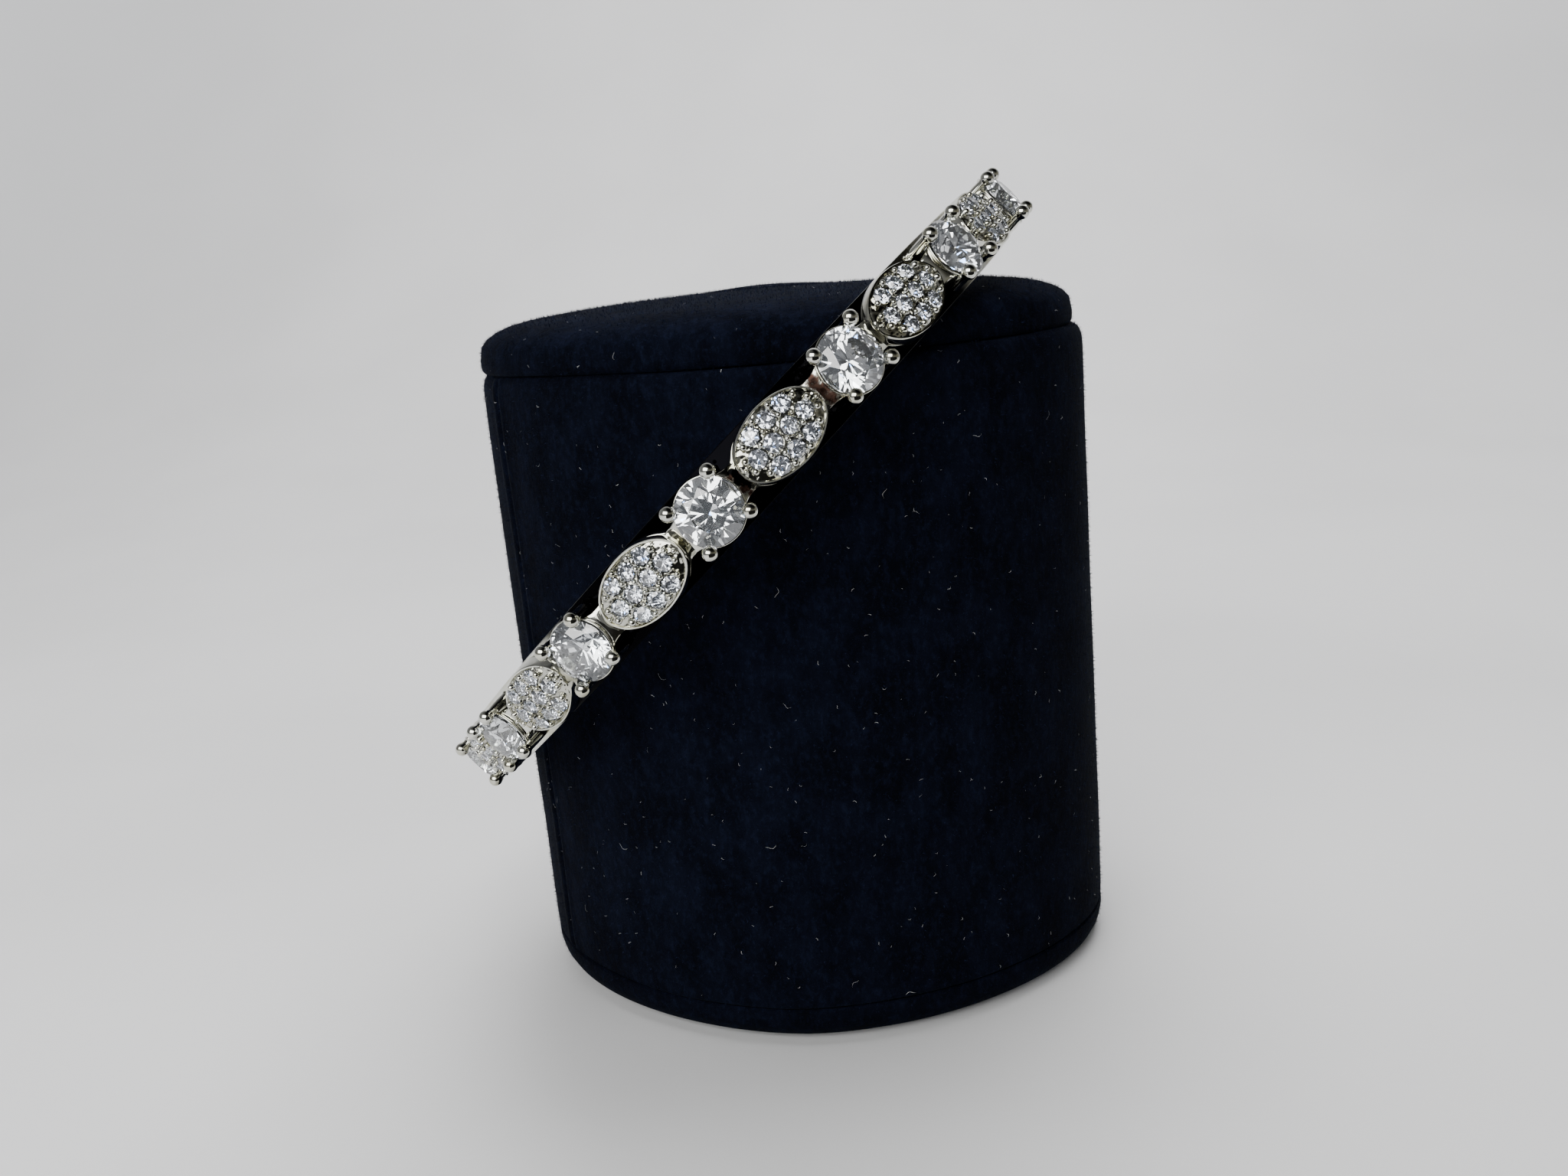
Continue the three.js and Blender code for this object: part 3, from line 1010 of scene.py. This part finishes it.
def plate_foot(sizes):
    """The almond-shaped foot with its necks, its top edge eased and its underside flat."""
    outline = foot_outline(sizes)
    rings = [[(x, y, 0.4 * MM) for x, y in outline]]
    for depth, inset in ((0.12, 0.0), (0.04, 0.025), (0, 0.09)):
        rings.append([
            (x, y, foot_height(sizes, x) - depth * MM) for x, y in inwards(outline, inset * MM)
        ])
    edge = rings[-1]
    rings += [[(x, y * share, z) for x, y, z in edge] for share in (0.8, 0.5, 0.2)]
    rings = [[(round_collet(sizes, x, y), y, z) for x, y, z in ring] for ring in rings]
    points, faces = skin(rings, cap=False)
    count = len(outline)
    low, high = len(points) - count, len(points) - 1
    faces += [(low + i, low + i + 1, high - 1 - i, high - i) for i in range(count // 2 - 1)]
    faces.append(tuple(range(count))[::-1])
    return mesh_object("foot", points, faces)


def plate_oval(sizes):
    """The oval plate: its wall, its polished rim and the worked face inside."""
    turns = [2 * pi * i / OVAL_SIDES for i in range(OVAL_SIDES)]
    a, b, rim = sizes.length / 2, sizes.width / 2, sizes.rim_height
    wide = sizes.rim_width
    # Each step is how far the outline grows there, and its height.
    steps = [
        (0.12 * MM, sizes.foot_height - 0.1 * MM),
        (0.1 * MM, sizes.foot_height + 0.1 * MM),
        (0.03 * MM, rim - 0.2 * MM),
        (0.0, rim - 0.05 * MM),
        (-0.03 * MM, rim),
        (0.02 * MM - wide, rim),
        (-wide, rim - 0.03 * MM),
        (-wide, rim - 0.12 * MM),
    ]
    rings = []
    for grow, height in steps:
        long = a + min(grow, 0.03 * MM)
        rings.append([(long * cos(t), (b + grow) * sin(t), height) for t in turns])
    for row in range(1, OVAL_ROWS):
        share = 1 - row / OVAL_ROWS
        ring = [((a - wide) * share * cos(t), (b - wide) * share * sin(t)) for t in turns]
        rings.append([(u, v, plate_face(sizes, u, v)) for u, v in ring])
    return mesh_object("oval", *skin(rings))


class BANGLE_OT_plates(bpy.types.Operator):
    """Makes the oval plates on their almond-shaped feet"""

    bl_idname = "bangle.plates"
    bl_label = "Plates"

    def execute(self, context):
        scene = context.scene
        hoop = scene.hoop_sizes
        base = plate_base(scene.plate_sizes)
        first = hoop.first_setting + pi / hoop.settings
        plates = round_the_hoop("plates", base, scene, shared_metal(scene), first)
        soften(plates, *PLATE_WANDER)
        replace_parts(settle(plates), "bangle_frame")
        return {"FINISHED"}


# A small stone's table, crown, girdle and depth, as shares of its radius
SMALL_TABLE, SMALL_CROWN, SMALL_GIRDLE, SMALL_DEPTH = 0.58, 0.3, 0.06, 0.84


def octagon(reach, height, shift):
    """An eight-sided ring, turned by a share of a side."""
    turns = [2 * pi * (i + shift) / 8 for i in range(8)]
    return [(reach * cos(t), reach * sin(t), height) for t in turns]


def small_brilliant(radius):
    """A small eight-sided stone: table, crown facets and a point, its girdle at zero."""
    table = octagon(radius * SMALL_TABLE, radius * SMALL_CROWN, 0)
    girdle = octagon(radius, 0.0, 0.5)
    low = octagon(radius, -radius * SMALL_GIRDLE, 0.5)
    points = table + girdle + low + [(0, 0, -radius * SMALL_DEPTH)]
    faces = [tuple(range(8))]
    for i in range(8):
        j = (i + 1) % 8
        faces.append((i, 8 + i, j))
        faces.append((j, 8 + i, 8 + j))
        faces.append((8 + i, 16 + i, 16 + j, 8 + j))
        faces.append((16 + i, 24, 16 + j))
    return mesh_object("small_stone", points, faces, smooth=False)


def small_bead(radius):
    """A bead prong: a little ball on a short shank."""
    profile = [(0, -2 * radius), (radius * 0.9, -2 * radius), (radius, 0)]
    profile += [(radius * cos(radians(t)), radius * sin(radians(t))) for t in (35, 65, 90)]
    return turned("small_bead", profile, 10)


def band_face(hoop, u):
    """Height of the band's outer face, which bends away from a plate's middle."""
    face = hoop.inner_radius + hoop.band_thickness
    return sqrt(face * face - u * u) - hoop.inner_radius


def seats(scene, places, lift, surface):
    """One point for each place on each plate, with the way that it faces on a surface
    whose height comes from (u, v)."""
    hoop = scene.hoop_sizes
    placement = hoop_placement(hoop)
    step = 0.05 * MM
    points, ways, shares = [], [], []
    for i in range(hoop.settings):
        turn = hoop.first_setting + (i + 0.5) * 2 * pi / hoop.settings
        seat = placement @ on_band(hoop, turn)
        for u, v, share in places:
            u, v = u * MM, v * MM
            slope_u = (surface(u + step, v) - surface(u - step, v)) / (2 * step)
            slope_v = (surface(u, v + step) - surface(u, v - step)) / (2 * step)
            facing = Vector((-slope_u, -slope_v, 1)).normalized()
            spot = Vector((u, v, surface(u, v))) + facing * lift
            points.append(seat @ spot)
            ways.append(seat.to_3x3() @ facing)
            shares.append(share)
    mesh = bpy.data.meshes.new("seats")
    mesh.from_pydata([tuple(p) for p in points], [], [])
    facing = mesh.attributes.new("facing", "FLOAT_VECTOR", "POINT")
    facing.data.foreach_set("vector", np.array(ways, np.float32).ravel())
    mesh.attributes.new("share", "FLOAT", "POINT").data.foreach_set("value", shares)
    return linked("seats", mesh)


def seated(name, base, piece, lean, change, seed, finish):
    """Copies of a small piece, one on each seat; the base and the piece are used up."""
    values = {
        "Piece": piece,
        "Lean": radians(lean),
        "Size change": change,
        "Seed": seed,
        "Finish": finish,
    }
    copies = grown(name, base, made_once("seated_pieces", seated_tree), values)
    bpy.data.objects.remove(piece)
    return copies


class BANGLE_OT_small_stones(bpy.types.Operator):
    """Sets the small stones in the plates"""

    bl_idname = "bangle.small_stones"
    bl_label = "Small stones"

    def execute(self, context):
        scene = context.scene
        plate = scene.plate_sizes
        stone = small_brilliant(plate.stone_diameter / 2)
        base = seats(scene, SMALL_STONES, STONE_LIFT, lambda u, v: plate_dome(plate, u, v))
        finish = cut_stone("small_cut_stone", scene.finishes.small_stone)
        settle(seated("small_stones", base, stone, *STONE_SPREAD, finish))
        return {"FINISHED"}


class BANGLE_OT_beads(bpy.types.Operator):
    """Raises the bead prongs between the small stones"""

    bl_idname = "bangle.beads"
    bl_label = "Bead prongs"

    def execute(self, context):
        scene = context.scene
        plate = scene.plate_sizes
        hoop = scene.hoop_sizes
        bead = small_bead(plate.bead_radius)
        beads = seats(scene, BEADS, BEAD_LIFT, lambda u, v: plate_dome(plate, u, v))
        grains = seats(scene, GRAINS, GRAIN_LIFT, lambda u, v: band_face(hoop, u))
        base = joined("bead_seats", [beads, grains])
        finish = shared_metal(scene)
        settle(seated("bead_prongs", base, bead, *BEAD_SPREAD, finish))
        return {"FINISHED"}


# How far out a round stone's table, star facets and lower girdle facets reach, as shares
# of its radius, and how many flats follow each girdle facet
TABLE_REACH, STAR_REACH, KEEL_REACH = 0.56, 0.76, 0.232
GIRDLE_STEPS = 5


def on_facet(corners, x, y):
    """Height at (x, y) of the plane through three corners."""
    first = Vector(corners[0])
    normal = (Vector(corners[1]) - first).cross(Vector(corners[2]) - first)
    return first.z - (normal.x * (x - first.x) + normal.y * (y - first.y)) / normal.z


def brilliant(sizes):
    """A round brilliant: table, stars, kites, upper and lower girdle facets and mains, each
    flat, round a girdle that stays a true circle."""
    radius = sizes.stone_radius
    low = sizes.girdle_height
    top = low + sizes.girdle_thickness
    crown, pavilion = tan(sizes.crown_angle), tan(sizes.pavilion_angle)
    spread = cos(pi / 8)
    reaches = (TABLE_REACH, STAR_REACH, KEEL_REACH)
    table_radius, star_radius, keel_radius = (radius * share for share in reaches)
    table_height = top + (radius - table_radius) * crown

    table = octagon(table_radius, table_height, 0)
    stars = octagon(star_radius, top + (radius - star_radius * spread) * crown, 0.5)
    keels = octagon(keel_radius, low - (radius - keel_radius * spread) * pavilion, 0.5)
    point = (0, 0, low - radius * pavilion)
    points, faces = [], []

    def facet(corners):
        faces.append(tuple(range(len(points), len(points) + len(corners))))
        points.extend(corners)

    facet(table)
    for i in range(8):
        j = (i + 1) % 8
        before = (i - 1) % 8
        facet([table[i], stars[i], table[j]])
        mains = [2 * pi * k / 8 for k in (i, i + 0.5, i + 1)]
        edge = [(radius * cos(t), radius * sin(t)) for t in mains]
        facet([table[i], stars[before], (*edge[0], top), stars[i]])
        facet([(*edge[0], low), keels[before], point, keels[i]])
        for half in (0, 1):
            ends = edge[half : half + 2]
            over = [stars[i], *((*e, top) for e in ends)]
            under = [keels[i], *((*e, low) for e in ends)]
            upper, lower = [], []
            for k in range(GIRDLE_STEPS + 1):
                turn = mains[half] + (mains[half + 1] - mains[half]) * k / GIRDLE_STEPS
                x, y = radius * cos(turn), radius * sin(turn)
                upper.append((x, y, on_facet(over, x, y)))
                lower.append((x, y, on_facet(under, x, y)))
            facet([stars[i], *upper])
            facet([keels[i], *lower[::-1]])
            for k in range(GIRDLE_STEPS):
                facet([upper[k], lower[k], lower[k + 1], upper[k + 1]])
    return mesh_object("brilliant", points, faces, smooth=False)


class BANGLE_OT_round_stones(bpy.types.Operator):
    """Cuts the round stones and sets them in their collets"""

    bl_idname = "bangle.round_stones"
    bl_label = "Round stones"

    def execute(self, context):
        scene = context.scene
        base = brilliant(scene.stone_sizes)
        finish = cut_stone("cut_stone", scene.finishes.stone)
        first = scene.hoop_sizes.first_setting
        stones = round_the_hoop("round_stones", base, scene, finish, first)
        names = [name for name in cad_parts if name.startswith("round_stone_")]
        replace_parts(settle(stones), *names)
        return {"FINISHED"}


# ---------------------------------------------------------------- the stand

# Each row is a height and how far the outline draws in there, in millimetres.
BASE_LEVELS = [
    (0, 2.2), (0.3, 1.3), (0.8, 0.6), (1.5, 0.22),
    (2.4, 0.03), (3.1, 0.04), (3.25, 0.2),
]
COLUMN_LEVELS = [
    (3.35, 0.2), (3.5, 0.04), (4.5, 0),
    (54.9, 0), (55.6, 0.06), (56.1, 0.2), (56.4, 0.4), (56.6, 0.7),
]
TOP_LEVELS = [
    (56.7, 0.22), (56.85, 0.1), (57.1, 0.03), (57.7, 0), (58.9, 0.22), (59.5, 0.75),
    (60.0, 1.6), (60.45, 2.8), (60.85, 4.7), (61.2, 7.8), (61.45, 11), (61.65, 15), (61.75, 18),
]
COLUMN_ROW_GAP = 1.2
# The top is a little smaller than the column, in millimetres, and sits to the left.
TOP_SHAPE = {"shrink": 0.4, "front_shrink": 0.9}
TOP_SHIFT = -0.35 * MM
# How square the outline's corners are: 2 would be an ellipse
FRONT_POWER, BACK_POWER = 1.8, 2.3
BASE_SIDES = 220
COVER_SIDES = 240
SEAM_STEP = radians(0.25)
# The seam, in millimetres: a groove of a depth and width, and beside it a swelling of a
# height, place and width
GROOVE_DEPTH, GROOVE_WIDTH = 0.3, 0.22
SWELL_HEIGHT, SWELL_PLACE, SWELL_WIDTH = 0.1, 0.7, 0.4
SEAM_REACH = 2
# The bulge on the top, in millimetres: its height, its middle and its reach, and the
# heights between which it grows
BULGE_HEIGHT, BULGE_MIDDLE, BULGE_REACH = 1.3, (-2, 15), (8, 5)
BULGE_FROM, BULGE_TO = 56.7, 61.7
# How far the covers' surfaces wander, and over what distance
COLUMN_WANDER = (0.1 * MM, 9 * MM)
TOP_WANDER = (0.12 * MM, 8 * MM)


def stand_point(turn, half_width, depth, power, z):
    """A point of the rounded outline."""
    x = abs(cos(turn)) ** (2 / power) * half_width * (1 if cos(turn) >= 0 else -1)
    y = abs(sin(turn)) ** (2 / power) * depth * (1 if sin(turn) >= 0 else -1)
    return Vector((x, y, z))


def stand_ring(sizes, z, inset, turns, shrink=0.0, front_shrink=0.0):
    """The stand's outline at one height."""
    ring = []
    for turn in turns:
        front = sin(turn) < 0
        depth = sizes.front_depth - front_shrink * MM if front else sizes.back_depth
        power = FRONT_POWER if front else BACK_POWER
        half = sizes.half_width - (inset + shrink) * MM
        ring.append(stand_point(turn, half, depth - inset * MM, power, z * MM))
    return ring


def finer(levels, gap):
    """Levels with more rows between the far apart ones."""
    rows = [levels[0]]
    for (z0, inset0), (z1, inset1) in zip(levels, levels[1:]):
        steps = max(1, ceil((z1 - z0) / gap))
        rows += [
            (z0 + (z1 - z0) * i / steps, inset0 + (inset1 - inset0) * i / steps)
            for i in range(1, steps + 1)
        ]
    return rows


def even_turns(count, seam=None):
    """Angles round the stand, closer together by a seam."""
    turns = [2 * pi * i / count for i in range(count)]
    if seam is not None:
        turns += [seam + SEAM_STEP * k for k in range(-10, 11)]
    return sorted(turns)


def soften(piece, amount, reach):
    """Gives a surface its slight unevenness, the same each time."""
    noise.seed_set(NOISE_SEED)
    for point in piece.data.vertices:
        point.co += noise.noise_vector(point.co / reach) * amount


def stand_cover(name, sizes, levels, turns, **shape):
    """A closed velvet cover through the outlines at its levels."""
    rings = [stand_ring(sizes, z, inset, turns, **shape) for z, inset in levels]
    return mesh_object(name, *skin(rings))


class BANGLE_OT_stand_base(bpy.types.Operator):
    """Makes the velvet-covered base plate"""

    bl_idname = "bangle.stand_base"
    bl_label = "Stand base"

    def execute(self, context):
        scene = context.scene
        turns = even_turns(BASE_SIDES)
        base = stand_cover("base_cover", scene.stand_sizes, BASE_LEVELS, turns)
        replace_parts(settle(base, shared_velvet(scene)), "stand_base")
        return {"FINISHED"}


class BANGLE_OT_stand_column(bpy.types.Operator):
    """Makes the velvet sleeve round the column, with its upright seam"""

    bl_idname = "bangle.stand_column"
    bl_label = "Stand column"

    def execute(self, context):
        scene = context.scene
        sizes = scene.stand_sizes
        turns = even_turns(COVER_SIDES, sizes.seam_angle)
        levels = finer(COLUMN_LEVELS, COLUMN_ROW_GAP)
        column = stand_cover("column_cover", sizes, levels, turns)
        soften(column, *COLUMN_WANDER)
        across, deep = sizes.half_width, sizes.front_depth
        seam = stand_point(sizes.seam_angle, across, deep, FRONT_POWER, 0)
        for point in column.data.vertices:
            away = hypot(point.co.x - seam.x, point.co.y - seam.y) / MM
            if away < SEAM_REACH:
                inward = Vector((-point.co.x, -point.co.y, 0)).normalized()
                groove = GROOVE_DEPTH * exp(-((away / GROOVE_WIDTH) ** 2))
                swell = SWELL_HEIGHT * exp(-(((away - SWELL_PLACE) / SWELL_WIDTH) ** 2))
                point.co += inward * (groove - swell) * MM
        settle(column, shared_velvet(scene))
        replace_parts(column, "stand_column")
        return {"FINISHED"}


class BANGLE_OT_top_pad(bpy.types.Operator):
    """Makes the padded top, with the soft bulge near its back"""

    bl_idname = "bangle.top_pad"
    bl_label = "Top pad"

    def execute(self, context):
        scene = context.scene
        turns = even_turns(COVER_SIDES)
        pad = stand_cover("top_cover", scene.stand_sizes, TOP_LEVELS, turns, **TOP_SHAPE)
        pad.data.transform(Matrix.Translation((TOP_SHIFT, 0, 0)))
        for point in pad.data.vertices:
            place = [c / MM for c in point.co]
            share = (place[2] - BULGE_FROM) / (BULGE_TO - BULGE_FROM)
            away = [(c - m) / r for c, m, r in zip(place, BULGE_MIDDLE, BULGE_REACH)]
            rise = BULGE_HEIGHT * share**2 * exp(-(away[0] ** 2) - away[1] ** 2)
            point.co.z += rise * MM
        soften(pad, *TOP_WANDER)
        settle(pad, shared_velvet(scene))
        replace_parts(pad, "stand_top_pad")
        return {"FINISHED"}


# Length and width in millimetres, and how many lie on each square millimetre
LOOSE_HAIRS = [(1.0, 0.01, 0.012), (0.35, 0.013, 0.09)]
# How far the fibres lean at most, in degrees
PILE_LEAN = 38
LINT_LEAN = 16
PILE_WIDTH = 0.05 * MM
SHORTEST_SHARE = 0.35
PILE_SEED = 20
LINT_SEED = 41
# Faces that look down more steeply than this grow nothing.
UNDERSIDE = -0.35


def blade(long, wide):
    """A fibre: one narrow leaf, standing on the surface."""
    points = [(-wide / 2, 0, 0), (wide / 2, 0, 0), (0, 0, long)]
    mesh = bpy.data.meshes.new("pile_blade")
    mesh.from_pydata(points, [], [(0, 1, 2)])
    return linked("pile_blade", mesh)


def curl(long, wide):
    """A loose hair, bent and lying just over the pile; sizes in millimetres."""
    steps = 8
    points = []
    for i in range(steps + 1):
        share = i / steps
        x = (share - 0.5) * long
        y = (share - 0.5) ** 2 * long * 0.7 + 0.06 * long * sin(share * 7)
        half = wide * (0.5 if 0 < i < steps else 0.2)
        height = 0.32 + 0.08 * sin(pi * share)
        points += [(x * MM, (y + s * half) * MM, height * MM) for s in (-1, 1)]
    faces = [(2 * i, 2 * i + 2, 2 * i + 3, 2 * i + 1) for i in range(steps)]
    return mesh_object("loose_hair", points, faces)


def drop_underside(piece):
    """Takes off the faces that look down."""
    with edited(piece.data) as work:
        under = [face for face in work.faces if face.normal.z < UNDERSIDE]
        bmesh.ops.delete(work, geom=under, context="FACES")


def strewn(name, base, fibre, density, lean, seed, finish):
    """Fibres grown over a surface; the base and the fibre are used up."""
    drop_underside(base)
    values = {
        "Piece": fibre,
        "Density": density / MM**2,
        "Lean": radians(lean),
        "Shortest": SHORTEST_SHARE,
        "Seed": seed,
        "Finish": finish,
    }
    fibres = grown(name, base, made_once("velvet_pile", pile_tree), values)
    bpy.data.objects.remove(fibre)
    return fibres


class BANGLE_OT_pile(bpy.types.Operator):
    """Raises the velvet's pile on the column, the top and the base"""

    bl_idname = "bangle.pile"
    bl_label = "Velvet pile"

    def execute(self, context):
        sizes = context.scene.stand_sizes
        finish = pile_fibre(context.scene.finishes)
        for seed, part in enumerate(("column", "top", "base"), PILE_SEED):
            fibre = blade(sizes.pile_length, PILE_WIDTH)
            base = copied(part + "_cover")
            amount = (sizes.pile_density, PILE_LEAN, seed)
            settle(strewn(part + "_pile", base, fibre, *amount, finish))
        return {"FINISHED"}


class BANGLE_OT_lint(bpy.types.Operator):
    """Scatters a little lint over the velvet"""

    bl_idname = "bangle.lint"
    bl_label = "Lint"

    def execute(self, context):
        finish = lint_fibre()
        loose = []
        for seed, (long, wide, density) in enumerate(LOOSE_HAIRS, LINT_SEED):
            base = joined("lint_base", [copied("column_cover"), copied("top_cover")])
            hair = curl(long, wide)
            loose.append(strewn("lint", base, hair, density, LINT_LEAN, seed, finish))
        settle(joined("lint", loose))
        return {"FINISHED"}


# ---------------------------------------------------------------- the stage


# Small lamps that only the stones catch: place, size, power and tint
SPARKLES = [
    ((-0.22, -0.25, 0.26), 0.1, 0.75, (0.97, 0.98, 1.0)),
    ((0.2, -0.3, 0.24), 0.1, 0.72, (1.0, 0.98, 0.94)),
    ((-0.3, -0.2, 0.04), 0.12, 0.8, (0.93, 0.96, 1.0)),
    ((0.02, -0.3, 0.38), 0.08, 0.3, (0.35, 0.55, 1.0)),
    ((0.28, -0.12, 0.1), 0.1, 0.25, (1.0, 1.0, 1.0)),
]


def soft_light(name, place, aim, size, power, tint=(1.0, 1.0, 1.0), reach="all"):
    """An oblong lamp that lights everything, or only the floor or the stones."""
    lamp = bpy.data.lights.new(name, "AREA")
    lamp.shape = "RECTANGLE"
    lamp.size, lamp.size_y = size
    lamp.energy = power
    lamp.color = tint
    light = linked(name, lamp)
    light.visible_glossy = reach == "all"
    light.visible_transmission = reach != "floor"
    light.visible_diffuse = reach != "stones"
    light.location = place
    light.rotation_euler = (Vector(aim) - Vector(place)).to_track_quat("-Z", "Y").to_euler()


class BANGLE_OT_stage(bpy.types.Operator):
    """Sets the camera, the soft lights and a plain pale floor"""

    bl_idname = "bangle.stage"
    bl_label = "Stage"

    def execute(self, context):
        scene = context.scene
        sizes = scene.stage_sizes
        camera = linked("camera", bpy.data.cameras.new("camera"))
        camera.data.lens = sizes.lens
        camera.data.sensor_width = 36
        camera.data.clip_start = 0.001
        camera.location = sizes.eye
        camera.rotation_euler = sizes.aim
        scene.camera = camera
        self.floor(scene)
        self.sky(scene)
        middle = (0, 0, 0.045)
        soft_light("key", (-0.13, -0.322, 0.245), middle, (0.4, 0.24), 2.1, (1.0, 1.0, 0.98))
        soft_light("back", (0, 0.1, 0.5), (0, 0.45, 0.2), (0.5, 0.2), 1.4, reach="floor")
        soft_light("floor", (0, 0.15, 0.6), middle, (0.5, 0.5), 6.0, reach="floor")
        for number, (place, size, power, tint) in enumerate(SPARKLES):
            soft_light("sparkle_%d" % number, place, middle, (size, size), power, tint, "stones")
        self.flag()
        return {"FINISHED"}

    def floor(self, scene):
        """A floor that curves up behind the stand; its profile runs back and up, in metres."""
        profile = [(-1.2, 0), *arc((0.2, 0.25), 0.25, -90, 0, 15), (0.45, 1.2)]
        points = [(x, y, z - 0.05 * MM) for x in (-1.6, 1.6) for y, z in profile]
        count = len(profile)
        faces = [(i, count + i, count + i + 1, i + 1) for i in range(count - 1)]
        floor = mesh_object("floor", points, faces)
        floor.data.materials.append(pale_floor(scene.finishes))

    def flag(self):
        """A dark card in front and to the right, seen in the polish and fainter by the
        stones; its corners are in millimetres."""
        corners = [(-16, -80, 1), (130, -40, 1), (135, -60, 58), (-14, -98, 60)]
        card = mesh_object("flag", [Vector(c) * MM for c in corners], [(0, 1, 2, 3)])
        constants = {"Roughness": 0.9, "Specular IOR Level": 0.0, "Emission Strength": 1.0}
        dark = Finish("dark_card", constants)
        patch = dark.noise(dark.place, 0.03, 2.0)
        deep, light = (0.008, 0.008, 0.008, 1), (0.014, 0.014, 0.013, 1)
        dark.feed("Base Color", dark.blend(patch, deep, light))
        # Seen through the stones, the card glows faintly: painted light that makes it less dark
        # there.
        through = dark.add("ShaderNodeLightPath").value("Is Transmission Ray")
        dark.feed("Emission Color", dark.blend(through, (0, 0, 0, 1), (0.05, 0.053, 0.06, 1)))
        card.data.materials.append(dark.material)
        card.visible_camera = card.visible_diffuse = card.visible_shadow = False

    def sky(self, scene):
        """A pale surround: warm on the right, dim overhead and dark high on the right. The
        camera sees it plain, and the stones see it a little brighter."""
        world = bpy.data.worlds.new("studio")
        world.use_nodes = True
        scene.world = world
        nodes = Nodes(world.node_tree)
        ray = nodes.add("ShaderNodeTexCoord").value("Generated")
        parts = nodes.add("ShaderNodeSeparateXYZ", {}, {0: ray})
        up = parts.value("Z")
        high = nodes.vector("DOT_PRODUCT", ray, (0.468, 0.041, 0.883)).rise(0.7, 0.92)
        beside = nodes.vector("DOT_PRODUCT", ray, (0.612, -0.354, 0.707)).rise(0.8, 0.97)
        strength = 0.2 + parts.value("Y").rise(-0.2, 0.6) * 0.22
        strength = strength * (1 - up.rise(0.6, 0.98) * 0.6)
        strength = strength * (1 - high * 0.9) * (1 - beside * 0.75)
        rays = nodes.add("ShaderNodeLightPath")
        seen, through = rays.value("Is Camera Ray"), rays.value("Is Transmission Ray")
        strength = strength * (1 + through * 0.4) * (1 - seen) + seen
        warmth = parts.value("X").rise(0.2, 0.8) * (1 - seen) * (1 - through)
        tint = nodes.blend(warmth, SURROUND, (1.0, 0.97, 0.8, 1))
        background = world.node_tree.nodes["Background"]
        world.node_tree.links.new(tint.socket, background.inputs["Color"])
        world.node_tree.links.new(strength.socket, background.inputs["Strength"])


class BANGLE_PT_panel(bpy.types.Panel):
    """Lists the pieces in the order in which they are made"""

    bl_idname = "BANGLE_PT_panel"
    bl_label = "Bangle on display stand"
    bl_space_type = "VIEW_3D"
    bl_region_type = "UI"
    bl_category = "Bangle"

    def draw(self, context):
        for operator in OPERATORS:
            self.layout.operator(operator.bl_idname)
        for group in GROUPS.values():
            settings = getattr(context.scene, group)
            for name in settings.bl_rna.properties.keys():
                if name not in ("rna_type", "name"):
                    self.layout.prop(settings, name)


GROUPS = {
    HoopSizes: "hoop_sizes",
    StoneSizes: "stone_sizes",
    SettingSizes: "setting_sizes",
    PlateSizes: "plate_sizes",
    StandSizes: "stand_sizes",
    Finishes: "finishes",
    StageSizes: "stage_sizes",
}
OPERATORS = [
    BANGLE_OT_stage,
    BANGLE_OT_band,
    BANGLE_OT_settings,
    BANGLE_OT_plates,
    BANGLE_OT_small_stones,
    BANGLE_OT_beads,
    BANGLE_OT_round_stones,
    BANGLE_OT_stand_base,
    BANGLE_OT_stand_column,
    BANGLE_OT_top_pad,
    BANGLE_OT_pile,
    BANGLE_OT_lint,
]


def register():
    for group, name in GROUPS.items():
        bpy.utils.register_class(group)
        setattr(bpy.types.Scene, name, PointerProperty(type=group))
    for operator in OPERATORS:
        bpy.utils.register_class(operator)
    bpy.utils.register_class(BANGLE_PT_panel)


def unregister():
    bpy.utils.unregister_class(BANGLE_PT_panel)
    for operator in reversed(OPERATORS):
        bpy.utils.unregister_class(operator)
    for group, name in GROUPS.items():
        delattr(bpy.types.Scene, name)
        bpy.utils.unregister_class(group)


def plain(box):
    """A box as plain lists of numbers."""
    return [list(corner) for corner in box]


def main():
    register()
    for operator in OPERATORS:
        getattr(bpy.ops.bangle, operator.bl_idname.split(".")[1])()


if __name__ == "__main__":
    main()
